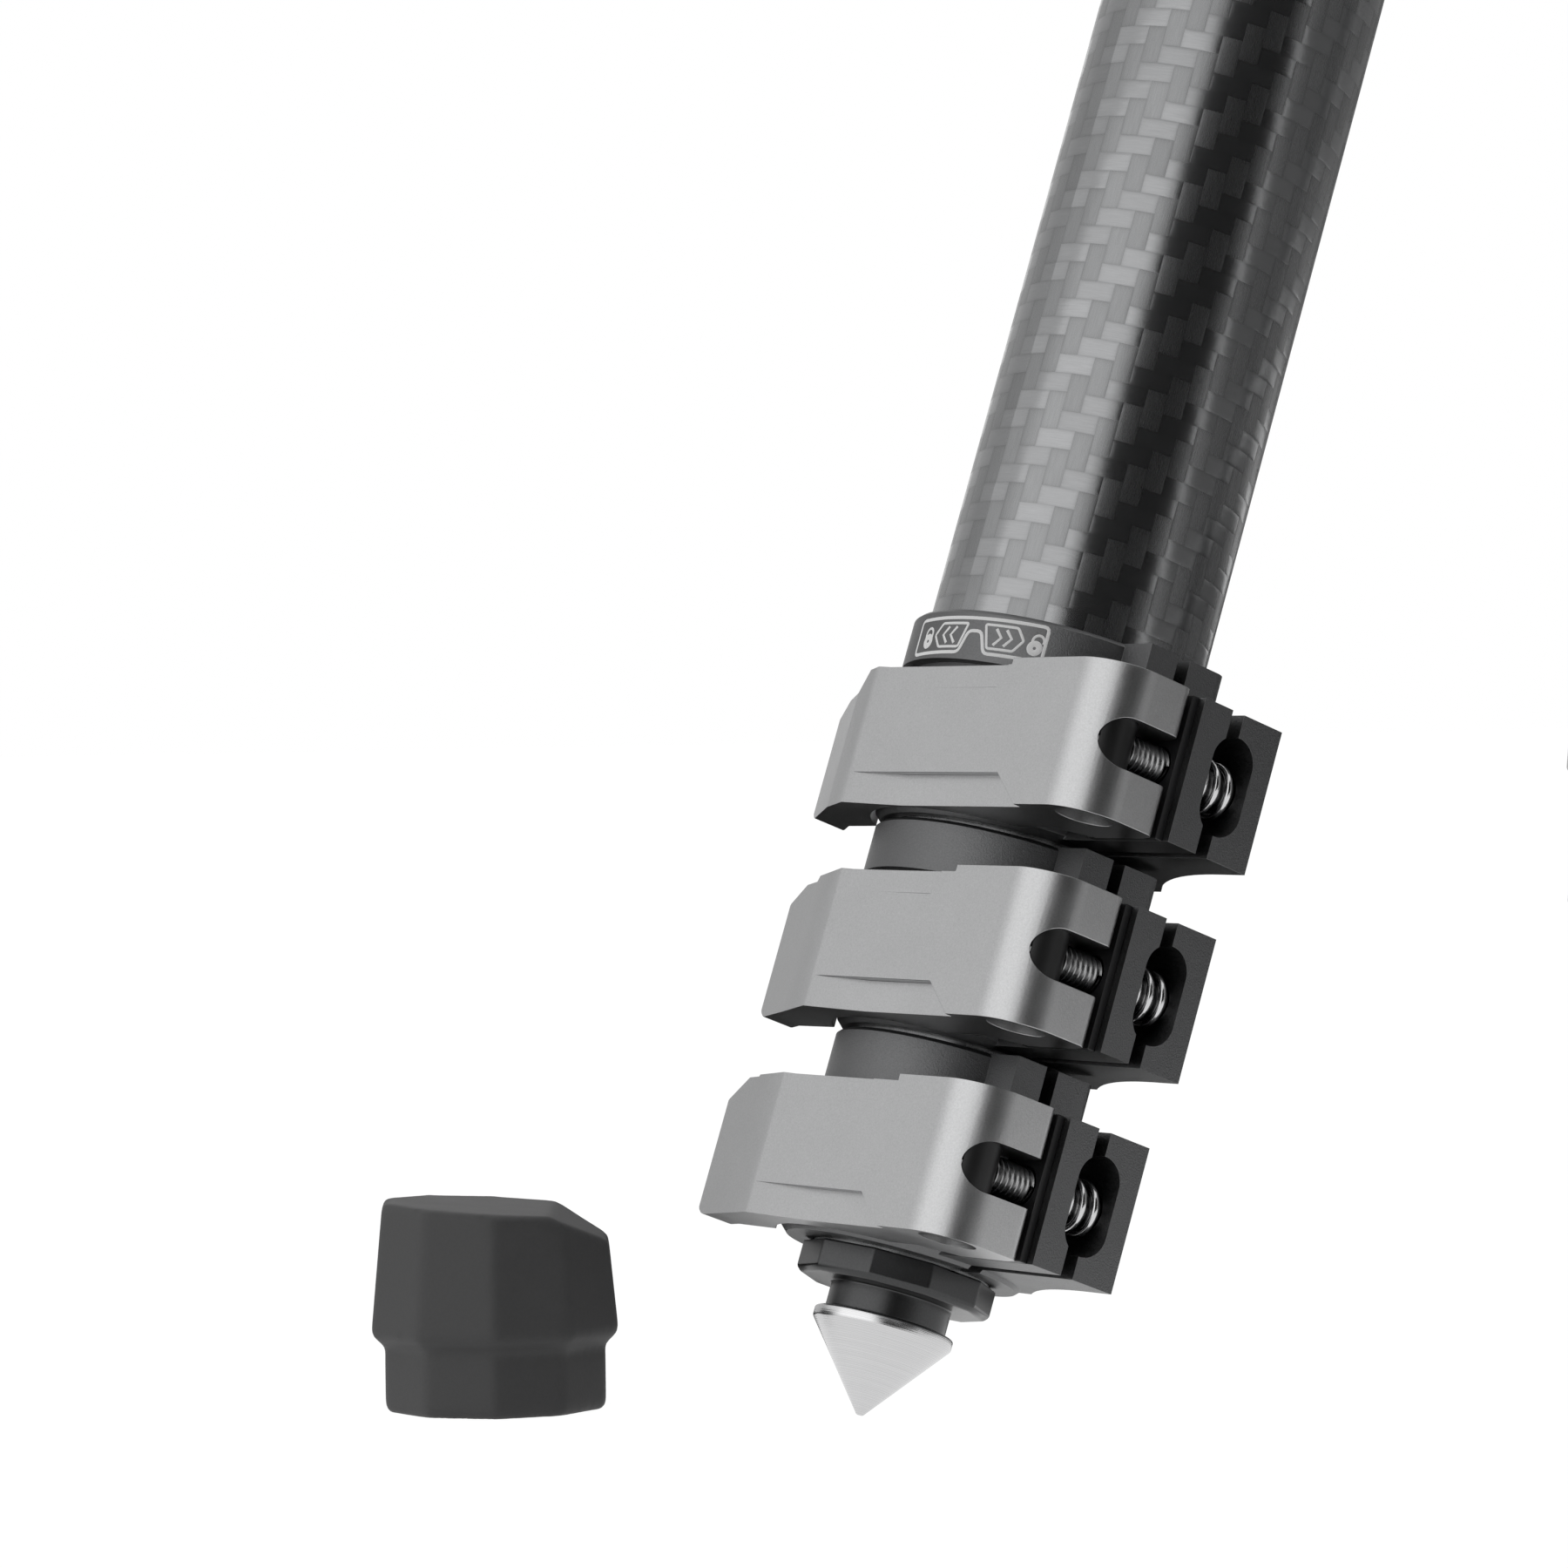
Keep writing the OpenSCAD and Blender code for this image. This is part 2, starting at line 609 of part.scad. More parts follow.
// The arm is flat as far as a soft bend, then slopes back to a crease, where the thumb tab starts
module lever_arm(k) {
    i = k - 1;
    front = barrel_x + lever_front;
    crease = [front - crease_back[i], crease_side[i]];
    tab = [front - tab_back[i], tab_side[i]];
    along = (tab - crease) / norm(tab - crease);
    inward = [along[1], -along[0]];
    corner = tab + tab_end_r * (inward - along);
    inner = tab + tab_thick * inward;
    inner_corner = inner - tab_end_r * (inward + along);
    hook = inner - hook_length * along;
    turn = atan2(-inward[1], -inward[0]);
    polygon(concat(
        [[barrel_x + lever_waist_x, lever_split_y + overlap], [front, lever_split_y + overlap],
            [front, flat_end[i]], crease],
        arc(corner[0], corner[1], tab_end_r, turn, turn - 90, 6),
        arc(inner_corner[0], inner_corner[1], tab_end_r, turn - 90, turn - 180, 6),
        [hook, [barrel_x + lever_waist_x, 2]]));
}

// Each strip gets deeper from the bend of the arm, and the lower one ends in a slant
module lever_strips(k) {
    from = flat_end[k - 1] + strip_start;
    start = from - wedge_length;
    low = -lever_height / 2;
    high = arm_height + low;
    lower_end = bolt_y(k) - lower_strip_y;
    upper_end = bolt_y(k) - upper_strip_y;
    far = lower_end + strip_slant;
    strip_cut(
        [[start, high - strip_upper], [upper_end - strip_rise, high - strip_upper],
            [upper_end, high + overlap], [start, high + overlap]],
        strip_plan(from, upper_depth, upper_run, far));
    strip_cut(
        [[start, low - overlap], [far, low - overlap], [far - strip_edge, low],
            [lower_end, strip_lower + low], [start, strip_lower + low]],
        strip_plan(from, lower_depth, wedge_length, far));
}

function strip_plan(from, depth, run, far) =
    let (front = barrel_x + lever_front)
    [[front + depth, from - run], [front - depth, from + run], [front - depth, far], [front + depth, far]];

// What the side outline and the plan have in common is cut from the arm's outer face
module strip_cut(side, plan) {
    intersection() {
        rotate([90, 0, 90]) linear_extrude(2 * barrel_x) polygon(side);
        translate([0, 0, -lever_height]) linear_extrude(2 * lever_height) polygon(plan);
    }
}

module lever_tab_corner(k) {
    i = k - 1;
    top = arm_height - lever_height / 2;
    end = tab_side[i] - 2 * overlap;
    low = -lever_height / 2;
    rotate([90, 0, 90])
        linear_extrude(3 * lever_height) {
            polygon([[end, top + overlap], [end, tab_top_end[i]], [tab_side[i], tab_top_end[i]],
                [tab_side[i] + tab_slope, tab_top[i]], [crease_side[i], tab_top[i]],
                [crease_side[i] + top + overlap - tab_top[i], top + overlap]]);
            polygon(concat([[end, low - overlap], [tab_side[i] + tab_corner_r, low - overlap]],
                arc(tab_side[i] + tab_corner_r, low + tab_corner_r, tab_corner_r, -90, -180, 8),
                [[end, low + tab_corner_r]]));
        }
}

module lever_bolt_slot() {
    reach = lever_back + 3;
    half = lever_slot / 2;
    rotate([0, 0, slot_side])
        rotate([0, 90, 0]) cylinder(r = half, h = reach);
    translate([0, 0, -half])
        linear_extrude(lever_slot)
            polygon([[0, -half], [-reach, -half], [-reach, reach],
                [reach * cos(slot_side), reach * sin(slot_side)], [0, 0]]);
}

module foot_fitting(bond = 0) {
    bevel = 0.6;
    color(BLACK)
        difference() {
            union() {
                translate([0, 0, neck_z]) cylinder(r = neck_r, h = neck_height + overlap);
                translate([0, 0, collar_z + bevel])
                    cylinder(r = fitting_r, h = fitting_height - bevel, $fn = 10);
                translate([0, 0, collar_z])
                    cylinder(r1 = fitting_r - bevel, r2 = fitting_r, h = bevel, $fn = 10);
                translate([0, 0, fitting_top])
                    cylinder(r = tube_bore(CLAMPS + 1) + bond, h = spigot_length);
            }
            translate([0, 0, neck_z - overlap]) cylinder(r = shank_r - bond, h = shank_length + overlap);
        }
}

module spike() {
    color(STEEL)
        rotate_extrude()
            polygon([[0, 0], [tip_r, 0], [spike_rim_r - 0.1, spike_height], [spike_rim_r, spike_height + 0.15],
                [spike_rim_r, neck_z - 0.2], [spike_rim_r - 0.3, neck_z], [shank_r, neck_z],
                [shank_r, neck_z + shank_length - 0.5], [shank_r - 0.5, neck_z + shank_length],
                [0, neck_z + shank_length]]);
}

// The rubber foot stands on its mouth beside the spike, in the tripod's frame
module rubber_foot(leg) {
    socket = fitting_height + neck_height;
    spike_seat = socket + rim_height + spike_height;
    color(RUBBER)
        rotate([0, 0, LEG_TURN[leg]])
            translate([hinge_radius + leg_reach * sin(leg_angle) + rubber_out, rubber_side, -tip_depth])
                rotate([0, 0, rubber_turn])
                    difference() {
                        rubber_body();
                        translate([0, 0, -overlap])
                            cylinder(r = fitting_r + rubber_fit, h = fitting_height + overlap + 1, $fn = 10);
                        cylinder(r = spike_rim_r + rubber_fit, h = socket + rim_height + 0.5);
                        translate([0, 0, socket + rim_height + 0.5])
                            cylinder(r1 = spike_rim_r + rubber_fit, r2 = 1, h = spike_height + 0.2);
                        sole_planes();
                    }
}

module rubber_body() {
    groove = 0.35;
    edge = 0.5;
    cylinder(r1 = rubber_collar_r - edge, r2 = rubber_collar_r, h = edge, $fn = 10);
    translate([0, 0, edge]) cylinder(r = rubber_collar_r, h = rubber_collar_h - edge, $fn = 10);
    cylinder(r = rubber_collar_r - groove, h = rubber_ridge_z, $fn = 10);
    translate([0, 0, rubber_collar_h + 0.3])
        cylinder(r1 = rubber_collar_r - groove, r2 = rubber_ridge_r, h = rubber_ridge_z - rubber_collar_h - 0.3,
            $fn = 10);
    translate([0, 0, rubber_ridge_z])
        cylinder(r1 = rubber_ridge_r, r2 = rubber_sole_r, h = rubber_height - rubber_ridge_z, $fn = 10);
}

module sole_planes() {
    wide = 4 * rubber_ridge_r;
    rotate([0, 0, sole_turn - rubber_turn]) {
        translate([-rubber_sole_r, -wide / 2, rubber_height])
            rotate([0, sole_slope, 0]) cube([wide, wide, rubber_height]);
        translate([rubber_sole_r / 2, -wide / 2, rubber_height - 1.2])
            rotate([0, sole_cut, 0]) cube([wide, wide, rubber_height]);
    }
}

// The casting at the top of a leg, with the tongue that turns between the hub's lugs
module knuckle() {
    shoulder = 7.5;
    color(BLACK)
        difference() {
            union() {
                rotate_extrude()
                    polygon(concat([[0, knuckle_base], [knuckle_r - 0.5, knuckle_base],
                        [knuckle_r, knuckle_base + 0.5]],
                        arc(knuckle_r - shoulder, tongue_root - shoulder + 5.5, shoulder, 0, 90, 16),
                        [[0, tongue_root + 5.5]]));
                translate([0, tongue_width / 2, leg_reach])
                    rotate([90, 0, 0]) cylinder(r = tongue_r, h = tongue_width);
                translate([-tongue_r, -tongue_width / 2, tongue_root])
                    cube([2 * tongue_r, tongue_width, leg_reach - tongue_root]);
            }
            translate([0, 0, knuckle_base - overlap]) cylinder(r = tube_r(1), h = knuckle_length + overlap);
            translate([0, tongue_width, leg_reach])
                rotate([90, 0, 0]) cylinder(r = hinge_pin_d / 2 + hinge_fit, h = 2 * tongue_width);
            translate([tongue_r - rib_in - latch_gap, -rib_half - latch_gap, leg_reach - latch_drop - latch_travel - 0.5])
                cube([2 * rib_in, 2 * (rib_half + latch_gap), 2 * tongue_r + latch_drop]);
        }
}

module stop_latch() {
    nose = 1;
    color(SILVER)
        translate([0, 0, leg_reach]) {
            difference() {
                translate([latch_x, -latch_half, -latch_drop])
                    cube([latch_thick, 2 * latch_half, latch_top + latch_drop]);
                for (z = [-latch_drop + 1.5, -latch_drop + 3.5, -latch_drop + 5.5])
                    translate([latch_out - 0.5, -latch_half - overlap, z])
                        cube([nose, 2 * (latch_half + overlap), nose]);
            }
            translate([tongue_r - rib_in, -rib_half, -latch_drop])
                cube([rib_in + latch_gap, 2 * rib_half, latch_drop + 4]);
        }
}

module hub() {
    color(BLACK)
        difference() {
            union() {
                translate([0, 0, ball_z]) intersection() {
                    sphere(r = shell_r, $fn = 160);
                    translate([0, 0, -shell_r - rim_drop]) cylinder(r = shell_r, h = shell_r);
                }
                translate([0, 0, ball_z - rim_drop - band_height]) cylinder(r = rim_r, h = band_height);
                for (turn = LEG_TURN) rotate([0, 0, turn]) hub_lugs();
            }
            translate([0, 0, ball_z]) sphere(r = bowl_r, $fn = 160);
            translate([0, 0, ball_z - rim_drop]) cylinder(r = 2 * shell_r, h = shell_r);
            translate([0, 0, -2 * shell_r]) cylinder(r = rod_hole_r, h = 2 * shell_r);
            for (turn = LEG_TURN) rotate([0, 0, turn])
                translate([hinge_radius, 2 * lug_out, -hinge_depth])
                    rotate([90, 0, 0]) cylinder(d = hinge_pin_d, h = 4 * lug_out);
        }
}

// Two lugs carry the hinge pin, and the web between them is the stop for the latch
module hub_lugs() {
    inward = hinge_radius - lug_root;
    top = hinge_depth - ball_depth - rim_drop - 4;
    translate([hinge_radius, 0, -hinge_depth]) {
        for (side = [lug_in, -lug_out]) translate([0, side, 0]) {
            translate([0, lug_thick, 0]) rotate([90, 0, 0]) cylinder(r = lug_r, h = lug_thick);
            translate([0, lug_thick, 0])
                rotate([90, 0, 0])
                    linear_extrude(lug_thick)
                        polygon([[-inward, top], [-2, top], [lug_r, web_low + web_thick], [lug_r, 0],
                            [-lug_r * sin(60), -lug_r * cos(60)], [-inward, -5]]);
        }
        translate([lug_r - 9, -lug_in - overlap, web_low])
            cube([9, 2 * (lug_in + overlap), web_thick]);
    }
}

module hinge_pins() {
    head = 1.2;
    color(STEEL)
        for (turn = LEG_TURN) rotate([0, 0, turn])
            translate([hinge_radius, 0, -hinge_depth]) rotate([90, 0, 0]) {
                translate([0, 0, -lug_out]) cylinder(d = hinge_pin_d, h = 2 * lug_out);
                translate([0, 0, lug_out]) cylinder(d = hinge_pin_d + 3, h = head);
                translate([0, 0, -lug_out - head]) cylinder(d = hinge_pin_d + 3, h = head);
            }
}

module levelling_ball() {
    color(BLACK)
        difference() {
            union() {
                translate([0, 0, ball_z]) intersection() {
                    sphere(r = ball_r, $fn = 160);
                    translate([0, 0, -ball_cut]) cylinder(r = ball_r, h = ball_cut + ball_shoulder);
                }
                cylinder_down(head_plate_r, ball_depth - ball_shoulder + overlap);
            }
            translate([0, 0, -stud_seat]) cylinder(r = stud_seat_r, h = stud_seat + overlap);
            translate([0, 0, -stud_relief]) cylinder(r = stud_r + stud_relief, h = stud_relief + overlap);
            translate([0, 0, ball_z - ball_cut - overlap]) cylinder(r = tie_rod_r + slide_fit, h = 14 + overlap);
        }
}

module cylinder_down(r, h) {
    edge = 0.8;
    rotate_extrude() polygon([[0, -h], [r, -h], [r, -edge], [r - edge, 0], [0, 0]]);
}

module head_screw() {
    chamfer = 0.8;
    color(STEEL)
        rotate_extrude()
            polygon([[0, -stud_seat], [stud_seat_r, -stud_seat], [stud_seat_r, 0], [stud_r, 0],
                [stud_r, stud_height - chamfer], [stud_r - chamfer, stud_height], [0, stud_height]]);
}

module cup_washer() {
    low = shell_r + cup_thick;
    color(SILVER)
        translate([0, 0, ball_z])
            difference() {
                translate([0, 0, -low]) cylinder(r = cup_r, h = low - shell_r * cos(asin(cup_r / shell_r)) + 0.6);
                sphere(r = shell_r + slide_fit, $fn = 160);
                translate([0, 0, -low - overlap]) cylinder(r = tie_rod_r + slide_fit, h = low);
            }
}

// The knob is moulded on its tie rod, which screws into the levelling ball
module clamp_knob() {
    low = shell_r + cup_thick + 0.3;
    grips = 9;
    color("#262628")
        translate([0, 0, ball_z]) {
            difference() {
                translate([0, 0, -low - knob_height]) cylinder(r = knob_r, h = knob_height);
                for (i = [0 : grips - 1]) rotate([0, 0, i * 360 / grips])
                    translate([knob_r + 3, 0, -low - knob_height - overlap])
                        cylinder(r = 5, h = knob_height + 2 * overlap);
                translate([0, 0, -low - knob_height - overlap]) cylinder(r = tie_rod_r, h = knob_height + 2 * overlap);
            }
            translate([0, 0, -low - knob_height + 2])
                cylinder(r = tie_rod_r, h = low + knob_height - 2 - ball_cut + 13);
        }
}

module clamp_hardware(k) {
    collar(k);
    pressure_plate(k);
    draw_bolt(k);
    barrel_nut(k);
    clamp_spring(k);
}

module leg_top() {
    knuckle();
    clamp_hardware(1);
}

module foot_section() {
    tube(4);
    guide_bush(4, tube_wall / 2);
    foot_fitting(tube_wall / 2);
    spike();
}

module tube_with_bush(k) {
    tube(k);
    guide_bush(k, tube_wall / 2);
}

hub();
hinge_pins();
levelling_ball();
head_screw();
cup_washer();
clamp_knob();
leg_frame(0) knuckle();  // leg_a_knuckle
leg_frame(0) stop_latch();  // leg_a_stop_latch
leg_frame(0) foot_fitting();  // leg_a_foot_fitting
leg_frame(0) spike();  // leg_a_spike
rubber_foot(0);  // leg_a_rubber_foot
for (k = [1 : 4]) {
    leg_frame(0) tube(k);
}
for (k = [2 : 4]) {
    leg_frame(0) guide_bush(k);
}
for (k = [1 : 3]) {
    leg_frame(0) collar(k);
    leg_frame(0) lever(k);
    leg_frame(0) barrel_nut(k);
    leg_frame(0) draw_bolt(k);
    leg_frame(0) pressure_plate(k);
    leg_frame(0) clamp_spring(k);
}
for (leg = [1, 2]) {
    prefix = str("leg_", LEG_NAMES[leg], "_");
    leg_frame(leg) leg_top();
    leg_frame(leg) stop_latch();
    leg_frame(leg) tube(1);
    leg_frame(leg) tube_with_bush(2);
    leg_frame(leg) tube_with_bush(3);
    leg_frame(leg) clamp_hardware(2);
    leg_frame(leg) clamp_hardware(3);
    leg_frame(leg) foot_section();
    leg_frame(leg) lever(1);
    leg_frame(leg) lever(2);
    leg_frame(leg) lever(3);
    rubber_foot(leg);
}
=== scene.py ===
import math

import bmesh
import bpy
from mathutils import Matrix, Vector


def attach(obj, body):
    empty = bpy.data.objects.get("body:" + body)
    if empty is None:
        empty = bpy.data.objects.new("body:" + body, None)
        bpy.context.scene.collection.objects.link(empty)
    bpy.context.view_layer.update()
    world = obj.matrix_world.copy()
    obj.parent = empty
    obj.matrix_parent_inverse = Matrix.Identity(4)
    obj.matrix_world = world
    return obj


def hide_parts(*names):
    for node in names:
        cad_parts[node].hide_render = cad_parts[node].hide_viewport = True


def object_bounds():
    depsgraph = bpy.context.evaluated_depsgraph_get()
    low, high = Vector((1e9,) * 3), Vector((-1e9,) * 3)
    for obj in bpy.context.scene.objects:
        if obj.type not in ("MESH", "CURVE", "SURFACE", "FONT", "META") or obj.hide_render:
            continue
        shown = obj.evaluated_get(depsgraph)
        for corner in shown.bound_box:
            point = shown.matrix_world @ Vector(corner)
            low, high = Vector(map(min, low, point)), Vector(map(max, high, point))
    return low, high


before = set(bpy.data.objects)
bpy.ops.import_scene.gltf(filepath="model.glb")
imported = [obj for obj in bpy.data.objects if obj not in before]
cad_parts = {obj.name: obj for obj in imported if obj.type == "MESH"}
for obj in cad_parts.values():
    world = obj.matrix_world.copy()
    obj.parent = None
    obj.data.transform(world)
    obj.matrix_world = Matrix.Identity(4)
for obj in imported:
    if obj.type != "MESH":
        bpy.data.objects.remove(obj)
CAD_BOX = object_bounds()

bl_info = {
    "name": "Carbon tripod dressing",
    "version": (1, 0, 0),
    "blender": (4, 5, 0),
    "location": "View3D > Sidebar > Tripod",
    "description": "Dresses the packed model of a carbon tripod with modelled details, materials and a stage",
    "category": "Object",
}

MM = 0.001
MERGE = 0.002 * MM
LEGS = {"a": math.radians(-90), "b": math.radians(30), "c": math.radians(150)}
LEG_ANGLE = math.radians(20)
LEG_REACH = 0.470
HINGE_RADIUS = 0.048
HINGE_DEPTH = 0.042

# Sizes on a leg, in its own frame: z runs up the leg from the spike's tip, y towards the clamps' ears
CLAMP_Z = {1: 70.0 * MM, 2: 47.4 * MM, 3: 24.8 * MM}
BOLT_Y = {1: 27.3 * MM, 2: 25.5 * MM, 3: 23.7 * MM}
TUBE_RADIUS = {1: 15.0 * MM, 2: 13.2 * MM, 3: 11.4 * MM, 4: 9.6 * MM}
TOWS_ROUND = {1: 44, 2: 40, 3: 32, 4: 28}
SLEEVE_RADIUS = 16.55 * MM

# Sizes of a clamp's bolt and spring, with places along the bolt from the plane through the leg's axis
BOLT_FACE = -6.1 * MM
HEAD_DEPTH = 1.9 * MM
HEAD_RADIUS = 3.66 * MM
NECK_RADIUS = 2.12 * MM
SOCKET_RADIUS = 1.44 * MM
SOCKET_DEPTH = 1.3 * MM
SHANK_LENGTH = 10.0 * MM
SHANK_RADIUS = 1.95 * MM
THREAD_START = 5.2 * MM
THREAD_RADIUS = 2.0 * MM
BOLT_END = 15.1 * MM
POCKET_FROM = -3.65 * MM
POCKET_TO = 1.85 * MM
SPRING_WIRE = 0.42 * MM
SPRING_RADIUS = 2.68 * MM

# Direction of the print's middle round the leg, from the leg's outer side towards the ears
PRINT_MIDDLE = math.radians(14.7)
PRINT_HEIGHT = CLAMP_Z[1] + 11.0 * MM
PRINT_RISE = 0.03

# The photograph's frame: its width, the focal length and the spike's tip from the middle, in pixels
PICTURE = 1800
FOCAL_PIXELS = 6970
TIP_RIGHT = 86.6
TIP_BELOW = 724.7


def leg_matrix(leg):
    """Where a leg's own frame stands in the scene."""
    return (
        Matrix.Rotation(LEGS[leg], 4, "Z")
        @ Matrix.Translation((HINGE_RADIUS, 0, -HINGE_DEPTH))
        @ Matrix.Rotation(-LEG_ANGLE, 4, "Y")
        @ Matrix.Translation((0, 0, -LEG_REACH))
    )


LEG_FRAME = {leg: leg_matrix(leg) for leg in LEGS}
SPIKE_TIP = LEG_FRAME["a"] @ Vector((0, 0, 0))
FLOOR_Z = CAD_BOX[0].z


# Settings that a user may change

class TripodFinishes(bpy.types.PropertyGroup):
    """Colours and surface finishes of the tripod."""

    carbon: bpy.props.FloatVectorProperty(
        name="Carbon", description="Reflection colour of the woven fibres", subtype="COLOR",
        default=(0.285, 0.288, 0.292), min=0, max=1)
    black: bpy.props.FloatVectorProperty(
        name="Black aluminium", description="Reflection colour of the black clamps", subtype="COLOR",
        default=(0.125, 0.126, 0.128), min=0, max=1)
    silver: bpy.props.FloatVectorProperty(
        name="Silver aluminium", description="Reflection colour of the levers", subtype="COLOR",
        default=(0.43, 0.432, 0.436), min=0, max=1)
    steel: bpy.props.FloatVectorProperty(
        name="Steel", description="Reflection colour of spikes, screws and springs", subtype="COLOR",
        default=(0.62, 0.62, 0.625), min=0, max=1)
    rubber: bpy.props.FloatVectorProperty(
        name="Rubber", description="Colour of the rubber feet", subtype="COLOR",
        default=(0.062, 0.062, 0.063), min=0, max=1)
    plastic: bpy.props.FloatVectorProperty(
        name="Knob", description="Colour of the clamp knob", subtype="COLOR",
        default=(0.030, 0.030, 0.032), min=0, max=1)
    tow_width: bpy.props.FloatProperty(
        name="Tow width", description="Width of one woven tow along the leg", unit="LENGTH",
        default=2.1 * MM, min=0.001, max=0.005)
    grain: bpy.props.FloatProperty(
        name="Grain", description="Size of the blasted grain on the metal", unit="LENGTH",
        default=0.20 * MM, min=0.00005, max=0.001)


class TripodDetails(bpy.types.PropertyGroup):
    """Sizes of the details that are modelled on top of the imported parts."""

    metal_edge: bpy.props.FloatProperty(
        name="Metal edge", description="Width of the soft edges of the clamps", unit="LENGTH",
        default=0.22 * MM, min=0.00005, max=0.001)
    lever_edge: bpy.props.FloatProperty(
        name="Lever edge", description="Width of the soft edges of the levers", unit="LENGTH",
        default=0.45 * MM, min=0.0001, max=0.0015)
    rubber_edge: bpy.props.FloatProperty(
        name="Rubber edge", description="Width of the soft edges of the rubber feet", unit="LENGTH",
        default=1.8 * MM, min=0.001, max=0.003)
    thread_pitch: bpy.props.FloatProperty(
        name="Thread pitch", description="Pitch of the clamp bolts' thread", unit="LENGTH",
        default=0.7 * MM, min=0.0003, max=0.001)
    spring_turns: bpy.props.FloatProperty(
        name="Spring turns", description="Turns of the spring between the ears of a clamp",
        default=2.75, min=2, max=5)
    print_line: bpy.props.FloatProperty(
        name="Print line", description="Width of the line round the printed lock symbols", unit="LENGTH",
        default=0.37 * MM, min=0.0001, max=0.0006)


class TripodStage(bpy.types.PropertyGroup):
    """The camera and the light."""

    azimuth: bpy.props.FloatProperty(
        name="Azimuth", description="Direction of the camera round the tripod", subtype="ANGLE",
        default=math.radians(53.76))
    elevation: bpy.props.FloatProperty(
        name="Elevation", description="Height of the camera's view", subtype="ANGLE",
        default=math.radians(0.85))
    roll: bpy.props.FloatProperty(
        name="Roll", description="Roll of the camera", subtype="ANGLE", default=math.radians(-0.72))
    distance: bpy.props.FloatProperty(
        name="Distance", description="Depth of the spike's tip in front of the camera", unit="LENGTH",
        default=0.6359, min=0.1, max=5)
    focal: bpy.props.FloatProperty(
        name="Focal length", description="In parts of the picture's width",
        default=FOCAL_PIXELS / PICTURE, min=0.5, max=10)
    key: bpy.props.FloatProperty(
        name="Key light", description="Power of the large soft light on the left", unit="POWER",
        default=2.8, min=0, max=100)
    fill: bpy.props.FloatProperty(
        name="Fill light", description="Strength of the light from all round", default=0.42, min=0, max=2)


# Materials

class Value:
    """A number in a material, which plain arithmetic turns into Math nodes."""

    def __init__(self, paint, socket):
        self.paint, self.socket = paint, socket

    def math(self, operation, *others):
        return self.paint.node("ShaderNodeMath", {"operation": operation}, [self, *others])

    def __add__(self, other):
        return self.math("ADD", other)

    def __sub__(self, other):
        return self.math("SUBTRACT", other)

    def __mul__(self, other):
        return self.math("MULTIPLY", other)

    def __truediv__(self, other):
        return self.math("DIVIDE", other)

    def __pow__(self, other):
        return self.math("POWER", other)

    def __lt__(self, other):
        return self.math("LESS_THAN", other)

    def __radd__(self, other):
        return self * 1 + other

    def __rsub__(self, other):
        return self * -1 + other

    def __rmul__(self, other):
        return self * other

    def floor(self):
        return self.math("FLOOR")

    def fraction(self):
        return self - self.floor()

    def wrap(self, length):
        return self.math("FLOORED_MODULO", length)

    def abs(self):
        return self.math("ABSOLUTE")

    def clamp(self):
        return self.math("MAXIMUM", 0).math("MINIMUM", 1)


